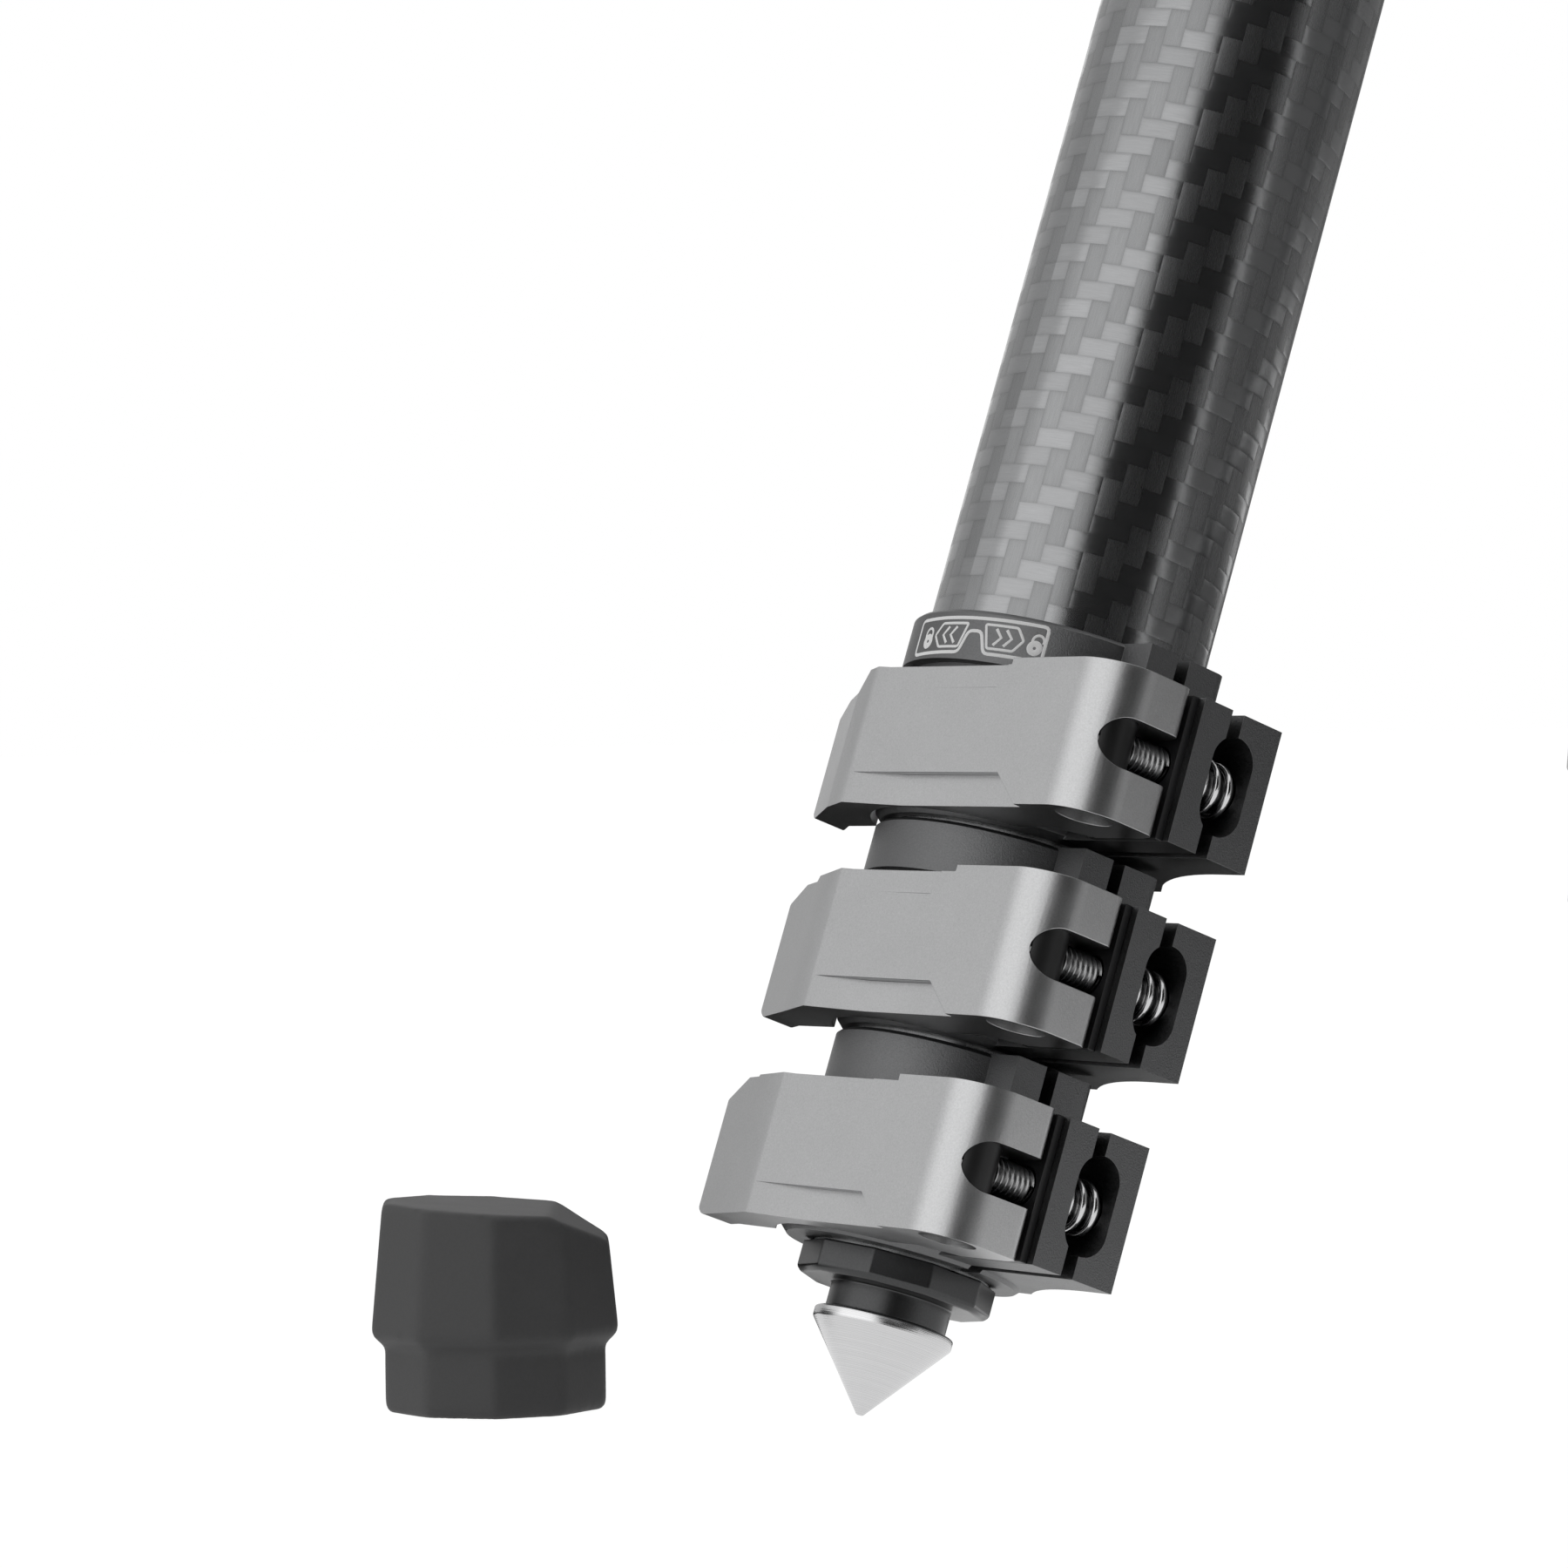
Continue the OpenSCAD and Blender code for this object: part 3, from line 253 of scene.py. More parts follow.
class Paint:
    """The nodes of a new procedural material, or of a world."""

    def __init__(self, name, world=None):
        self.material = world or bpy.data.materials.new(name)
        self.material.use_nodes = True
        self.tree = self.material.node_tree
        self.tree.nodes.clear()
        self.output = self.tree.nodes.new("ShaderNodeOutputWorld" if world else "ShaderNodeOutputMaterial")

    def node(self, kind, settings=None, inputs=None, output=0):
        """Adds a node with these settings, and with these values or links in its sockets."""
        made = self.tree.nodes.new(kind)
        for name, value in (settings or {}).items():
            setattr(made, name, value)
        pairs = enumerate(inputs) if isinstance(inputs, list) else (inputs or {}).items()
        for key, value in pairs:
            if isinstance(value, Value):
                self.tree.links.new(value.socket, made.inputs[key])
            else:
                made.inputs[key].default_value = value
        return Value(self, made.outputs[output])

    def coords(self, matrix=None):
        """Object coordinates, or the coordinates in the frame that the matrix places."""
        place = self.node("ShaderNodeTexCoord", output="Object")
        if matrix is None:
            return place
        return self.node("ShaderNodeMapping", {"vector_type": "TEXTURE"}, {
            "Vector": place, "Location": matrix.to_translation(), "Rotation": matrix.to_euler("XYZ")})

    def split(self, vector):
        first = self.node("ShaderNodeSeparateXYZ", None, {"Vector": vector})
        made = first.socket.node
        return [Value(self, made.outputs[i]) for i in range(3)]

    def join(self, x, y, z=0.0):
        return self.node("ShaderNodeCombineXYZ", None, [x, y, z])

    def noise(self, vector, scale, detail, roughness=0.5):
        return self.node("ShaderNodeTexNoise", {"noise_dimensions": "3D"}, {
            "Vector": vector, "Scale": scale, "Detail": detail, "Roughness": roughness})

    def random(self, vector):
        return self.node("ShaderNodeTexWhiteNoise", {"noise_dimensions": "3D"}, {"Vector": vector})

    def mix(self, factor, first, second):
        return self.node("ShaderNodeMix", {"data_type": "FLOAT"}, {
            "Factor": factor, "A": first, "B": second})

    def tint(self, factor, first, second):
        """A colour between two colours, by the factor."""
        return self.node("ShaderNodeMix", {"data_type": "RGBA"}, {
            0: factor, 6: (*first, 1), 7: (*second, 1)}, output=2)

    def dim(self, light, colour):
        """The colour times the light, which may go a little over 1."""
        return self.tint(light * 0.8, (0.0, 0.0, 0.0), shade(colour, 1.25))

    def bump(self, height, distance, strength, under=None):
        inputs = {"Strength": strength, "Distance": distance, "Height": height}
        if under is not None:
            inputs["Normal"] = under
        return self.node("ShaderNodeBump", None, inputs)

    def show(self, shader):
        """Makes the shader the one that is seen."""
        self.tree.links.new(shader.socket, self.output.inputs["Surface"])
        return self.material

    def surface(self, **inputs):
        """A Principled surface whose sockets are named in small letters."""
        return self.show(self.node("ShaderNodeBsdfPrincipled", None, {
            name.replace("_", " ").title(): value for name, value in inputs.items()}))

    def glow(self, strength):
        """An even white light."""
        return self.node("ShaderNodeEmission", None, {"Color": (1, 1, 1, 1), "Strength": strength})


def shade(colour, factor):
    """The colour made lighter or darker, and no lighter than white."""
    return tuple(min(1.0, c * factor) for c in colour)


def carbon_material(leg, section, finishes):
    """Twill of flat tows round a tube, under a satin coat."""
    paint = Paint(f"carbon_leg_{leg}_section_{section}")
    x, y, z = paint.split(paint.coords(LEG_FRAME[leg]))
    round_tube = y.math("ARCTAN2", x) * (TOWS_ROUND[section] / math.tau)
    along_tube = z / finishes.tow_width
    column, row = round_tube.floor(), along_tube.floor()
    across, up = round_tube.fraction(), along_tube.fraction()
    step = (row - column).wrap(4)
    axial = step < 1.5
    cell = ((row - column) * 0.25).floor()

    def crown(part, power):
        return 1 - (part * 2 - 1).abs() ** power

    axial_crown = crown(across, 5) * crown((step + up) * 0.5, 8)
    hoop_crown = crown(up, 5) * crown((3 - step + across) * 0.5, 8)
    height = paint.mix(axial, hoop_crown, axial_crown)
    axial_fibres = paint.noise(paint.join(round_tube * 16, along_tube * 0.9), 1.0, 3.0)
    hoop_fibres = paint.noise(paint.join(round_tube * 0.9, along_tube * 16), 1.0, 3.0)
    fibres = paint.mix(axial, hoop_fibres, axial_fibres)
    hoop_tow = paint.random(paint.join(row, cell, 3.0))
    axial_tow = paint.random(paint.join(column, cell, 7.0))
    tow = paint.mix(axial, hoop_tow, axial_tow)
    polish = paint.noise(paint.join(round_tube * 38, along_tube * 0.7), 1.0, 4.0, 0.65)
    # The tows along the tube are painted darker than the tows round it: painted shade standing in for how
    # differently their fibres reflect the light.
    light = paint.mix(axial, 1.0, 0.84) * (0.90 + tow * 0.14)
    light = light * (0.86 + fibres * 0.28) * (0.93 + polish * 0.14)
    # Darker where each tow dips under the next: painted shade in the hollows of the weave.
    light = light * (0.72 + 0.28 * height.clamp() ** 0.4)
    weave = paint.bump(height, 0.02 * MM, 0.55)
    scratches = paint.bump(fibres * 0.5 + polish, 0.004 * MM, 0.7, weave)
    return paint.surface(
        base_color=paint.dim(light, finishes.carbon), metallic=0.92,
        roughness=paint.mix(axial, 0.15, 0.25) + polish * 0.05,
        normal=scratches, coat_weight=0.12, coat_roughness=0.25)


def grained_metal(name, colour, roughness, grain, depth, strength):
    """Aluminium with the fine pitted grain of bead blasting."""
    paint = Paint(name)
    place = paint.coords()
    fine = paint.noise(place, 1 / grain, 3.0, 0.75)
    coarse = paint.noise(place, 1 / (grain * 26), 3.0)
    light = 0.70 + fine * 0.52 + coarse * 0.08
    return paint.surface(
        base_color=paint.dim(light, colour), metallic=1.0, roughness=roughness + (coarse - 0.5) * 0.08,
        normal=paint.bump(fine, depth, strength))


def turned_steel(name, matrix, colour, pitch, roughness):
    """Steel with the fine grooves that a lathe leaves, square to the axis."""
    paint = Paint(name)
    x, y, z = paint.split(paint.coords(matrix))
    wander = paint.noise(paint.join(x * 60, y * 60, z * 4000), 1.0, 3.0)
    grooves = (z * (math.tau / pitch) + wander * 9).math("SINE")
    bands = paint.noise(paint.join(0.0, 0.0, z * 2600), 1.0, 3.0)
    light = 0.88 + grooves * 0.05 + bands * 0.16
    return paint.surface(
        base_color=paint.dim(light, colour), metallic=1.0, roughness=roughness + bands * 0.1,
        normal=paint.bump(grooves + bands, 0.004 * MM, 0.5))


def bright_steel(name, colour, roughness):
    """Drawn and polished steel with faint stains."""
    paint = Paint(name)
    place = paint.coords()
    fine = paint.noise(place, 5200, 3.0, 0.6)
    stain = paint.noise(place, 340, 3.0)
    light = 0.86 + fine * 0.08 + stain * 0.16
    return paint.surface(
        base_color=paint.dim(light, colour), metallic=1.0, roughness=roughness + stain * 0.1,
        normal=paint.bump(fine, 0.003 * MM, 0.4))


def moulded(name, colour, roughness, grain, depth):
    """Rubber or plastic with the fine grain of its mould."""
    paint = Paint(name)
    place = paint.coords()
    fine = paint.noise(place, 1 / grain, 4.0, 0.6)
    bloom = paint.noise(place, 190, 4.0, 0.6)
    tinted = paint.tint((0.70 + fine * 0.2 + bloom * 0.4) * 0.7, (0.0, 0.0, 0.0), shade(colour, 1.43))
    return paint.surface(
        base_color=tinted, roughness=roughness + (bloom - 0.5) * 0.16,
        normal=paint.bump(fine, depth, 0.6))


def print_material():
    """White screen print, a little thin over the grain below."""
    paint = Paint("white_print")
    place = paint.coords()
    wear = paint.noise(place, 7000, 3.0, 0.7)
    tinted = paint.tint(0.75 + wear * 0.5, (0.6, 0.6, 0.61), (1.0, 1.0, 1.0))
    return paint.surface(base_color=tinted, roughness=0.5, normal=paint.bump(wear, 0.01 * MM, 0.3))


MATERIALS = {}


def make_materials(finishes):
    grain = finishes.grain
    MATERIALS.clear()
    for leg in LEGS:
        for section in TUBE_RADIUS:
            MATERIALS[f"carbon_{leg}_{section}"] = carbon_material(leg, section, finishes)
        MATERIALS[f"turned_{leg}"] = turned_steel(
            f"turned_steel_leg_{leg}", LEG_FRAME[leg], finishes.steel, 0.16 * MM, 0.2)
    MATERIALS["turned_axis"] = turned_steel(
        "turned_steel_axis", Matrix.Identity(4), finishes.steel, 0.2 * MM, 0.22)
    MATERIALS["black"] = grained_metal("black_aluminium", finishes.black, 0.38, grain, 0.05 * MM, 1.0)
    MATERIALS["black_smooth"] = grained_metal(
        "black_aluminium_cut", shade(finishes.black, 0.5), 0.30, grain, 0.012 * MM, 0.6)
    MATERIALS["silver"] = grained_metal(
        "silver_aluminium", finishes.silver, 0.32, grain * 0.9, 0.022 * MM, 0.8)
    MATERIALS["steel"] = bright_steel("bright_steel", finishes.steel, 0.14)
    # The bolts' steel is the steel at half brightness: painted shade for the lever's shadow that falls on the
    # bolts.
    MATERIALS["bolt_steel"] = bright_steel("bolt_steel", shade(finishes.steel, 0.5), 0.2)
    MATERIALS["dark_steel"] = bright_steel("dark_steel", shade(finishes.steel, 0.07), 0.36)
    MATERIALS["rubber"] = moulded("rubber", finishes.rubber, 0.62, 0.28 * MM, 0.03 * MM)
    MATERIALS["knob"] = moulded("knob_plastic", finishes.plastic, 0.5, 0.35 * MM, 0.03 * MM)
    MATERIALS["plate"] = moulded("plate_plastic", shade(finishes.plastic, 0.45), 0.42, 0.3 * MM, 0.01 * MM)
    MATERIALS["bush"] = moulded("bush_plastic", (0.62, 0.62, 0.6), 0.45, 0.4 * MM, 0.01 * MM)
    MATERIALS["print"] = print_material()


def paint_object(piece, key):
    piece.data.materials.clear()
    piece.data.materials.append(MATERIALS[key])


# Modelling helpers

def settings(name):
    return getattr(bpy.context.scene, name)


def deselect():
    if bpy.context.object and bpy.context.object.mode != "OBJECT":
        bpy.ops.object.mode_set(mode="OBJECT")
    bpy.ops.object.select_all(action="DESELECT")


def activate(piece):
    deselect()
    piece.select_set(True)
    bpy.context.view_layer.objects.active = piece


def apply_place(piece):
    activate(piece)
    bpy.ops.object.transform_apply(location=True, rotation=True, scale=True)


def modify(piece, kind, **values):
    """Adds a modifier with these values and applies it."""
    activate(piece)
    bpy.ops.object.modifier_add(type=kind)
    modifier = piece.modifiers[-1]
    for name, value in values.items():
        setattr(modifier, name, value)
    bpy.ops.object.modifier_apply(modifier=modifier.name)


def edit_where(piece, kind, chosen):
    """Enters edit mode with the faces or edges selected for which chosen(face or edge) holds."""
    activate(piece)
    bpy.ops.object.mode_set(mode="EDIT")
    bpy.ops.mesh.select_mode(type=kind)
    bpy.ops.mesh.select_all(action="DESELECT")
    mesh = bmesh.from_edit_mesh(piece.data)
    for part in mesh.faces if kind == "FACE" else mesh.edges:
        part.select = chosen(part)
    mesh.select_flush_mode()
    bmesh.update_edit_mesh(piece.data)


def object_mode():
    bpy.ops.object.mode_set(mode="OBJECT")


def turn_outwards():
    """Turns all faces of the mesh in edit mode outwards and leaves edit mode."""
    bpy.ops.mesh.select_all(action="SELECT")
    bpy.ops.mesh.normals_make_consistent(inside=False)
    object_mode()


def smooth(piece, angle):
    activate(piece)
    bpy.ops.object.shade_smooth_by_angle(angle=math.radians(angle))


def copy_piece(piece, name, matrix):
    """A copy with its own mesh, moved by the matrix."""
    made = piece.copy()
    made.data = piece.data.copy()
    made.name = made.data.name = name
    for key in list(made.keys()):
        del made[key]
    made.parent = None
    bpy.context.scene.collection.objects.link(made)
    made.data.transform(matrix)
    made.matrix_world = Matrix.Identity(4)
    return made


def settle(piece, body, material, nodes):
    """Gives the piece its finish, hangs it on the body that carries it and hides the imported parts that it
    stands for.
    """
    paint_object(piece, material)
    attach(piece, body)
    if nodes:
        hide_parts(*nodes)


def soft_copy(node, edge, segments):
    """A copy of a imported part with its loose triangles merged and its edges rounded."""
    piece = copy_piece(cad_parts[node], f"soft_{node}", Matrix.Identity(4))
    activate(piece)
    bpy.ops.object.mode_set(mode="EDIT")
    bpy.ops.mesh.select_mode(type="VERT")
    bpy.ops.mesh.select_all(action="SELECT")
    bpy.ops.mesh.remove_doubles(threshold=MERGE)
    bpy.ops.mesh.dissolve_limited(angle_limit=math.radians(0.6), use_dissolve_boundaries=False)
    object_mode()
    modify(piece, "BEVEL", width=edge, segments=segments, limit_method="ANGLE",
           angle_limit=math.radians(28), use_clamp_overlap=True, harden_normals=False,
           miter_outer="MITER_ARC")
    smooth(piece, 32)
    modify(piece, "WEIGHTED_NORMAL", keep_sharp=True, weight=60)
    return piece


def grouped_node(part):
    """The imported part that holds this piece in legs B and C, which are packed in fewer parts."""
    kind, number = part[:-2], part[-1]
    if kind in ("collar", "pressure_plate", "draw_bolt", "barrel_nut", "spring"):
        return "leg_top" if number == "1" else f"clamp_{number}"
    return {"knuckle": "leg_top", "foot_fitting": "foot_section", "spike": "foot_section"}.get(part, part)


def body_of(part):
    """The body of its leg that carries this piece."""
    if part in ("foot_fitting", "spike"):
        return "foot"
    if part.startswith(("lever", "stop_latch", "rubber_foot")):
        return part
    if part == "knuckle" or part.endswith("_1"):
        return "upper"
    return "section_" + part[-1]


def turn_to(leg):
    """The turn that brings leg A's pieces to this leg."""
    return Matrix.Rotation(LEGS[leg] - LEGS["a"], 4, "Z")


def dress_legs(piece, part, material, per_leg=False):
    """Settles leg A's piece and copies it to the two other legs."""
    for leg in LEGS:
        if leg == "a":
            made, node = piece, f"leg_a_{part}"
        else:
            made, node = copy_piece(piece, f"{part}_copy", turn_to(leg)), f"leg_{leg}_{grouped_node(part)}"
        made.name = f"leg_{leg}_{part}_piece"
        key = f"{material}_{leg}" if per_leg else material
        settle(made, f"leg_{leg}_{body_of(part)}", key, [node])


# Modelled details, drawn on leg A in the leg's own frame

def curve_tube(name, points, radius, closed=False):
    """A round bar along the points, or only their edges where the radius is 0, as a mesh at the origin."""
    curve = bpy.data.curves.new(name, "CURVE")
    curve.dimensions = "3D"
    curve.bevel_depth = radius
    curve.bevel_resolution = 2
    curve.use_fill_caps = True
    line = curve.splines.new("POLY")
    line.points.add(len(points) - 1)
    for point, place in zip(line.points, points):
        point.co = (*place, 1)
    line.use_cyclic_u = closed
    piece = bpy.data.objects.new(name, curve)
    bpy.context.scene.collection.objects.link(piece)
    activate(piece)
    bpy.ops.object.convert(target="MESH")
    return bpy.context.object


def join_pieces(name, pieces):
    deselect()
    for piece in pieces:
        piece.select_set(True)
    bpy.context.view_layer.objects.active = pieces[0]
    bpy.ops.object.join()
    joined = bpy.context.object
    joined.name = joined.data.name = name
    return joined


def model_bolt(details):
    """A countersunk clamp bolt along x, with the thread that shows between nut and ear."""
    along_x = (0, math.pi / 2, 0)
    bpy.ops.mesh.primitive_cone_add(
        vertices=48, radius1=HEAD_RADIUS, radius2=NECK_RADIUS, depth=HEAD_DEPTH,
        location=(BOLT_FACE + HEAD_DEPTH / 2, 0, 0), rotation=along_x)
    head = bpy.context.object
    apply_place(head)
    bpy.ops.mesh.primitive_cylinder_add(
        vertices=6, radius=SOCKET_RADIUS, depth=2 * SOCKET_DEPTH, location=(BOLT_FACE, 0, 0),
        rotation=along_x)
    socket = bpy.context.object
    apply_place(socket)
    modify(head, "BOOLEAN", operation="DIFFERENCE", object=socket, solver="EXACT")
    bpy.data.objects.remove(socket)
    modify(head, "BEVEL", width=0.12 * MM, segments=2, limit_method="ANGLE", angle_limit=math.radians(50))
    smooth(head, 40)
    shank_start = BOLT_FACE + HEAD_DEPTH - 0.1 * MM
    bpy.ops.mesh.primitive_cylinder_add(
        vertices=40, radius=SHANK_RADIUS, depth=SHANK_LENGTH,
        location=(shank_start + SHANK_LENGTH / 2, 0, 0), rotation=along_x)
    shank = bpy.context.object
    apply_place(shank)
    edit_where(shank, "FACE", lambda face: abs(face.normal.x) > 0.9)
    bpy.ops.mesh.inset(thickness=0.3 * MM)
    object_mode()
    smooth(shank, 40)
    thread = model_thread(details.thread_pitch, THREAD_RADIUS, BOLT_END - THREAD_START)
    thread.data.transform(Matrix.Translation((THREAD_START, 0, 0)))
    return join_pieces("bolt", [head, shank, thread])


def model_thread(pitch, radius, length):
    """A screw thread that runs along x from the origin, wound from the profile of one turn."""
    root = radius - 0.55 * pitch
    profile = [(0, root), (0.10, root), (0.42, radius), (0.62, radius), (1.0, root)]
    thread = curve_tube("thread", [(x * pitch, y, 0) for x, y in profile], 0)
    modify(thread, "SCREW", axis="X", angle=math.tau, screw_offset=pitch, iterations=int(length / pitch),
           steps=28, render_steps=28, use_merge_vertices=True, merge_threshold=MERGE,
           use_smooth_shade=True)
    edit_where(thread, "EDGE", lambda edge: edge.is_boundary)
    bpy.ops.mesh.fill()
    turn_outwards()
    smooth(thread, 40)
    return thread


def model_spring(details):
    """The spring between the ears: round wire wound round the bolt."""
    turns = details.spring_turns
    pitch = (POCKET_TO - POCKET_FROM - 2 * SPRING_WIRE) / turns
    bpy.ops.mesh.primitive_circle_add(
        vertices=14, radius=SPRING_WIRE, location=(POCKET_FROM + SPRING_WIRE, SPRING_RADIUS, 0),
        fill_type="NOTHING")
    spring = bpy.context.object
    apply_place(spring)
    modify(spring, "SCREW", axis="X", angle=math.tau * turns, screw_offset=pitch * turns, iterations=1,
           steps=int(40 * turns), render_steps=int(40 * turns), use_smooth_shade=True)
    edit_where(spring, "EDGE", lambda edge: edge.is_boundary)
    bpy.ops.mesh.edge_face_add()
    turn_outwards()
    smooth(spring, 50)
    spring.data.transform(Matrix.Rotation(math.radians(150), 4, "X"))
    return spring


def arc(x, y, radius, start, sweep, steps):
    """Points along an arc in the plane."""
    angles = [start + i * sweep / steps for i in range(steps + 1)]
    return [(x + radius * math.cos(angle), y + radius * math.sin(angle), 0) for angle in angles]


def lock_symbol(x, opened, line):
    """A padlock in the plane: a round body with its keyhole, and a bow that stands open or closed."""
    body, hole, bow, low = 0.84 * MM, 0.17 * MM, 0.62 * MM, -0.55 * MM
    lean, reach = (0.24 * MM, math.radians(205)) if opened else (0, math.pi)
    bow_x, bow_y, bow_foot = x + lean, low + 0.82 * MM, low + 0.2 * MM
    disc = arc(x, low, (body + hole) / 2, 0, math.tau, 24)[:-1]
    arch = [(bow_x - bow, bow_foot, 0), *arc(bow_x, bow_y, bow, math.pi, -reach, 12)]
    if not opened:
        arch.append((bow_x + bow, bow_foot, 0))
    return [curve_tube("lock_body", disc, (body - hole) / 2, closed=True), curve_tube("lock_bow", arch, line)]


def model_print(details):
    """Lock and unlock symbols with arrows, in a frame, printed round the upper clamp's sleeve."""
    half_height, half_length, line = 1.92 * MM, 8.75 * MM, details.print_line / 2
    notch_top, arrow_edge, chevron_top, chevron_foot = 0.5 * MM, 1.3 * MM, 0.92 * MM, -0.9 * MM
    outline = [
        (-half_length, half_height), (half_length, half_height), (half_length, -half_height),
        (2.2 * MM, -half_height), (1.35 * MM, notch_top), (-0.3 * MM, notch_top),
        (-1.1 * MM, -half_height), (-half_length, -half_height)]
    pieces = [curve_tube("frame_line", rounded(outline, 0.55 * MM), line, closed=True)]
    # The left and the right arrow with its chevrons and lock, in mm from the print's middle outwards
    for side, inner, shoulder, tip, root, chevrons, lock in (
            (-1, 0.55, 4.3, 5.25, 1.3, (3.9, 2.75), 6.5), (1, 1.7, 5.5, 6.4, 2.45, (3.85, 5.05), 7.7)):
        arrow = [(inner, arrow_edge), (shoulder, arrow_edge), (tip, 0),
                 (shoulder - 0.05, -arrow_edge), (root, -arrow_edge)]
        arrow = [(side * x * MM, y) for x, y in arrow]
        pieces.append(curve_tube("arrow_line", rounded(arrow, 0.22 * MM), line * 0.78, closed=True))
        for apex in chevrons:
            start, bend = side * (apex - 0.75) * MM, side * apex * MM
            chevron = [(start, chevron_top, 0), (bend, 0, 0), (start, chevron_foot, 0)]
            pieces.append(curve_tube("chevron", chevron, line * 0.9))
        pieces += lock_symbol(side * lock * MM, side > 0, line * 0.78)
    return wrap_round_sleeve(join_pieces("lock_print", pieces))


def wrap_round_sleeve(flat):
    """Lays the flat print round the sleeve and presses it thin."""
    thin, out_of_surface, into_surface = 0.12, 0.005 * MM, 0.004 * MM
    for vertex in flat.data.vertices:
        u, v, w = vertex.co
        angle = PRINT_MIDDLE + u / SLEEVE_RADIUS
        out = SLEEVE_RADIUS + max(-into_surface, out_of_surface + w * thin)
        vertex.co = (out * math.cos(angle), out * math.sin(angle), PRINT_HEIGHT + v + PRINT_RISE * u)
    smooth(flat, 60)
    return flat


def rounded(corners, radius):
    """The corners of a closed line, each rounded with four points, and points along the long sides."""
    spacing = 0.7 * MM
    points = []
    for i, corner in enumerate(corners):
        here, before, after = Vector(corner), Vector(corners[i - 1]), Vector(corners[(i + 1) % len(corners)])
        start = here + (before - here).normalized() * radius
        end = here + (after - here).normalized() * radius
        for t in (0, 0.33, 0.67, 1):
            points.append((*start.lerp(here, t).lerp(here.lerp(end, t), t), 0))
        far = after + (here - after).normalized() * radius
        steps = max(1, round((far - end).length / spacing))
        points += [(*end.lerp(far, step / steps), 0) for step in range(1, steps)]
    return points


# Operators

class TRIPOD_OT_paint_parts(bpy.types.Operator):
    """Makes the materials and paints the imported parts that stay"""

    bl_idname = "tripod.paint_parts"
    bl_label = "Paint packed parts"

    def execute(self, context):
        make_materials(settings("tripod_finishes"))
        for name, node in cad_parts.items():
            paint_object(node, self.finish_of(name))
        return {"FINISHED"}

    @staticmethod
    def finish_of(name):
        leg, part = (name[4], name[6:]) if name.startswith("leg_") else ("", name)
        if part.startswith("tube"):
            return f"carbon_{leg}_{part[-1]}"
        if part == "foot_section":
            return f"carbon_{leg}_4"
        if part == "spike":
            return f"turned_{leg}"
        for start, key in (
                ("guide_bush", "bush"), ("lever", "silver"), ("stop_latch", "silver"),
                ("cup_washer", "silver"), ("barrel_nut", "dark_steel"), ("draw_bolt", "steel"),
                ("spring", "steel"), ("hinge_pins", "steel"), ("head_screw", "turned_axis"),
                ("rubber_foot", "rubber"), ("clamp_knob", "knob"), ("pressure_plate", "plate")):
            if part.startswith(start):
                return key
        return "black"


class TRIPOD_OT_clamps(bpy.types.Operator):
    """Rounds the edges of the clamps' collars, plates and nuts on every leg"""

    bl_idname = "tripod.clamps"
    bl_label = "Clamp collars"

    def execute(self, context):
        details = settings("tripod_details")
        for number in (1, 2, 3):
            collar = soft_copy(f"leg_a_collar_{number}", details.metal_edge, 2)
            dress_legs(collar, f"collar_{number}", "black")
            plate = soft_copy(f"leg_a_pressure_plate_{number}", 0.12 * MM, 2)
            dress_legs(plate, f"pressure_plate_{number}", "plate")
            nut = soft_copy(f"leg_a_barrel_nut_{number}", 0.15 * MM, 2)
            dress_legs(nut, f"barrel_nut_{number}", "dark_steel")
        return {"FINISHED"}


class TRIPOD_OT_levers(bpy.types.Operator):
    """Rounds the levers' edges on every leg"""

    bl_idname = "tripod.levers"
    bl_label = "Levers"

    def execute(self, context):
        for number in (1, 2, 3):
            lever = soft_copy(f"leg_a_lever_{number}", settings("tripod_details").lever_edge, 3)
            dress_legs(lever, f"lever_{number}", "silver")
        return {"FINISHED"}


class TRIPOD_OT_clamp_screws(bpy.types.Operator):
    """Models the threaded bolts and the springs of the clamps"""

    bl_idname = "tripod.clamp_screws"
    bl_label = "Clamp screws and springs"

    def execute(self, context):
        details = settings("tripod_details")
        bolt, spring = model_bolt(details), model_spring(details)
        for number in (1, 2, 3):
            place = LEG_FRAME["a"] @ Matrix.Translation((0, BOLT_Y[number], CLAMP_Z[number]))
            # The bolts get the steel with painted shade.
            dress_legs(copy_piece(bolt, "bolt_copy", place), f"draw_bolt_{number}", "bolt_steel")
            dress_legs(copy_piece(spring, "spring_copy", place), f"spring_{number}", "steel")
        for piece in (bolt, spring):
            bpy.data.objects.remove(piece)
        return {"FINISHED"}


class TRIPOD_OT_print(bpy.types.Operator):
    """Models the printed lock symbols on the sleeve of every upper clamp"""

    bl_idname = "tripod.lock_print"
    bl_label = "Lock symbols"

    def execute(self, context):
        flat = model_print(settings("tripod_details"))
        for leg in LEGS:
            made = copy_piece(flat, f"leg_{leg}_lock_print", LEG_FRAME[leg])
            settle(made, f"leg_{leg}_upper", "print", [])
        bpy.data.objects.remove(flat)
        return {"FINISHED"}


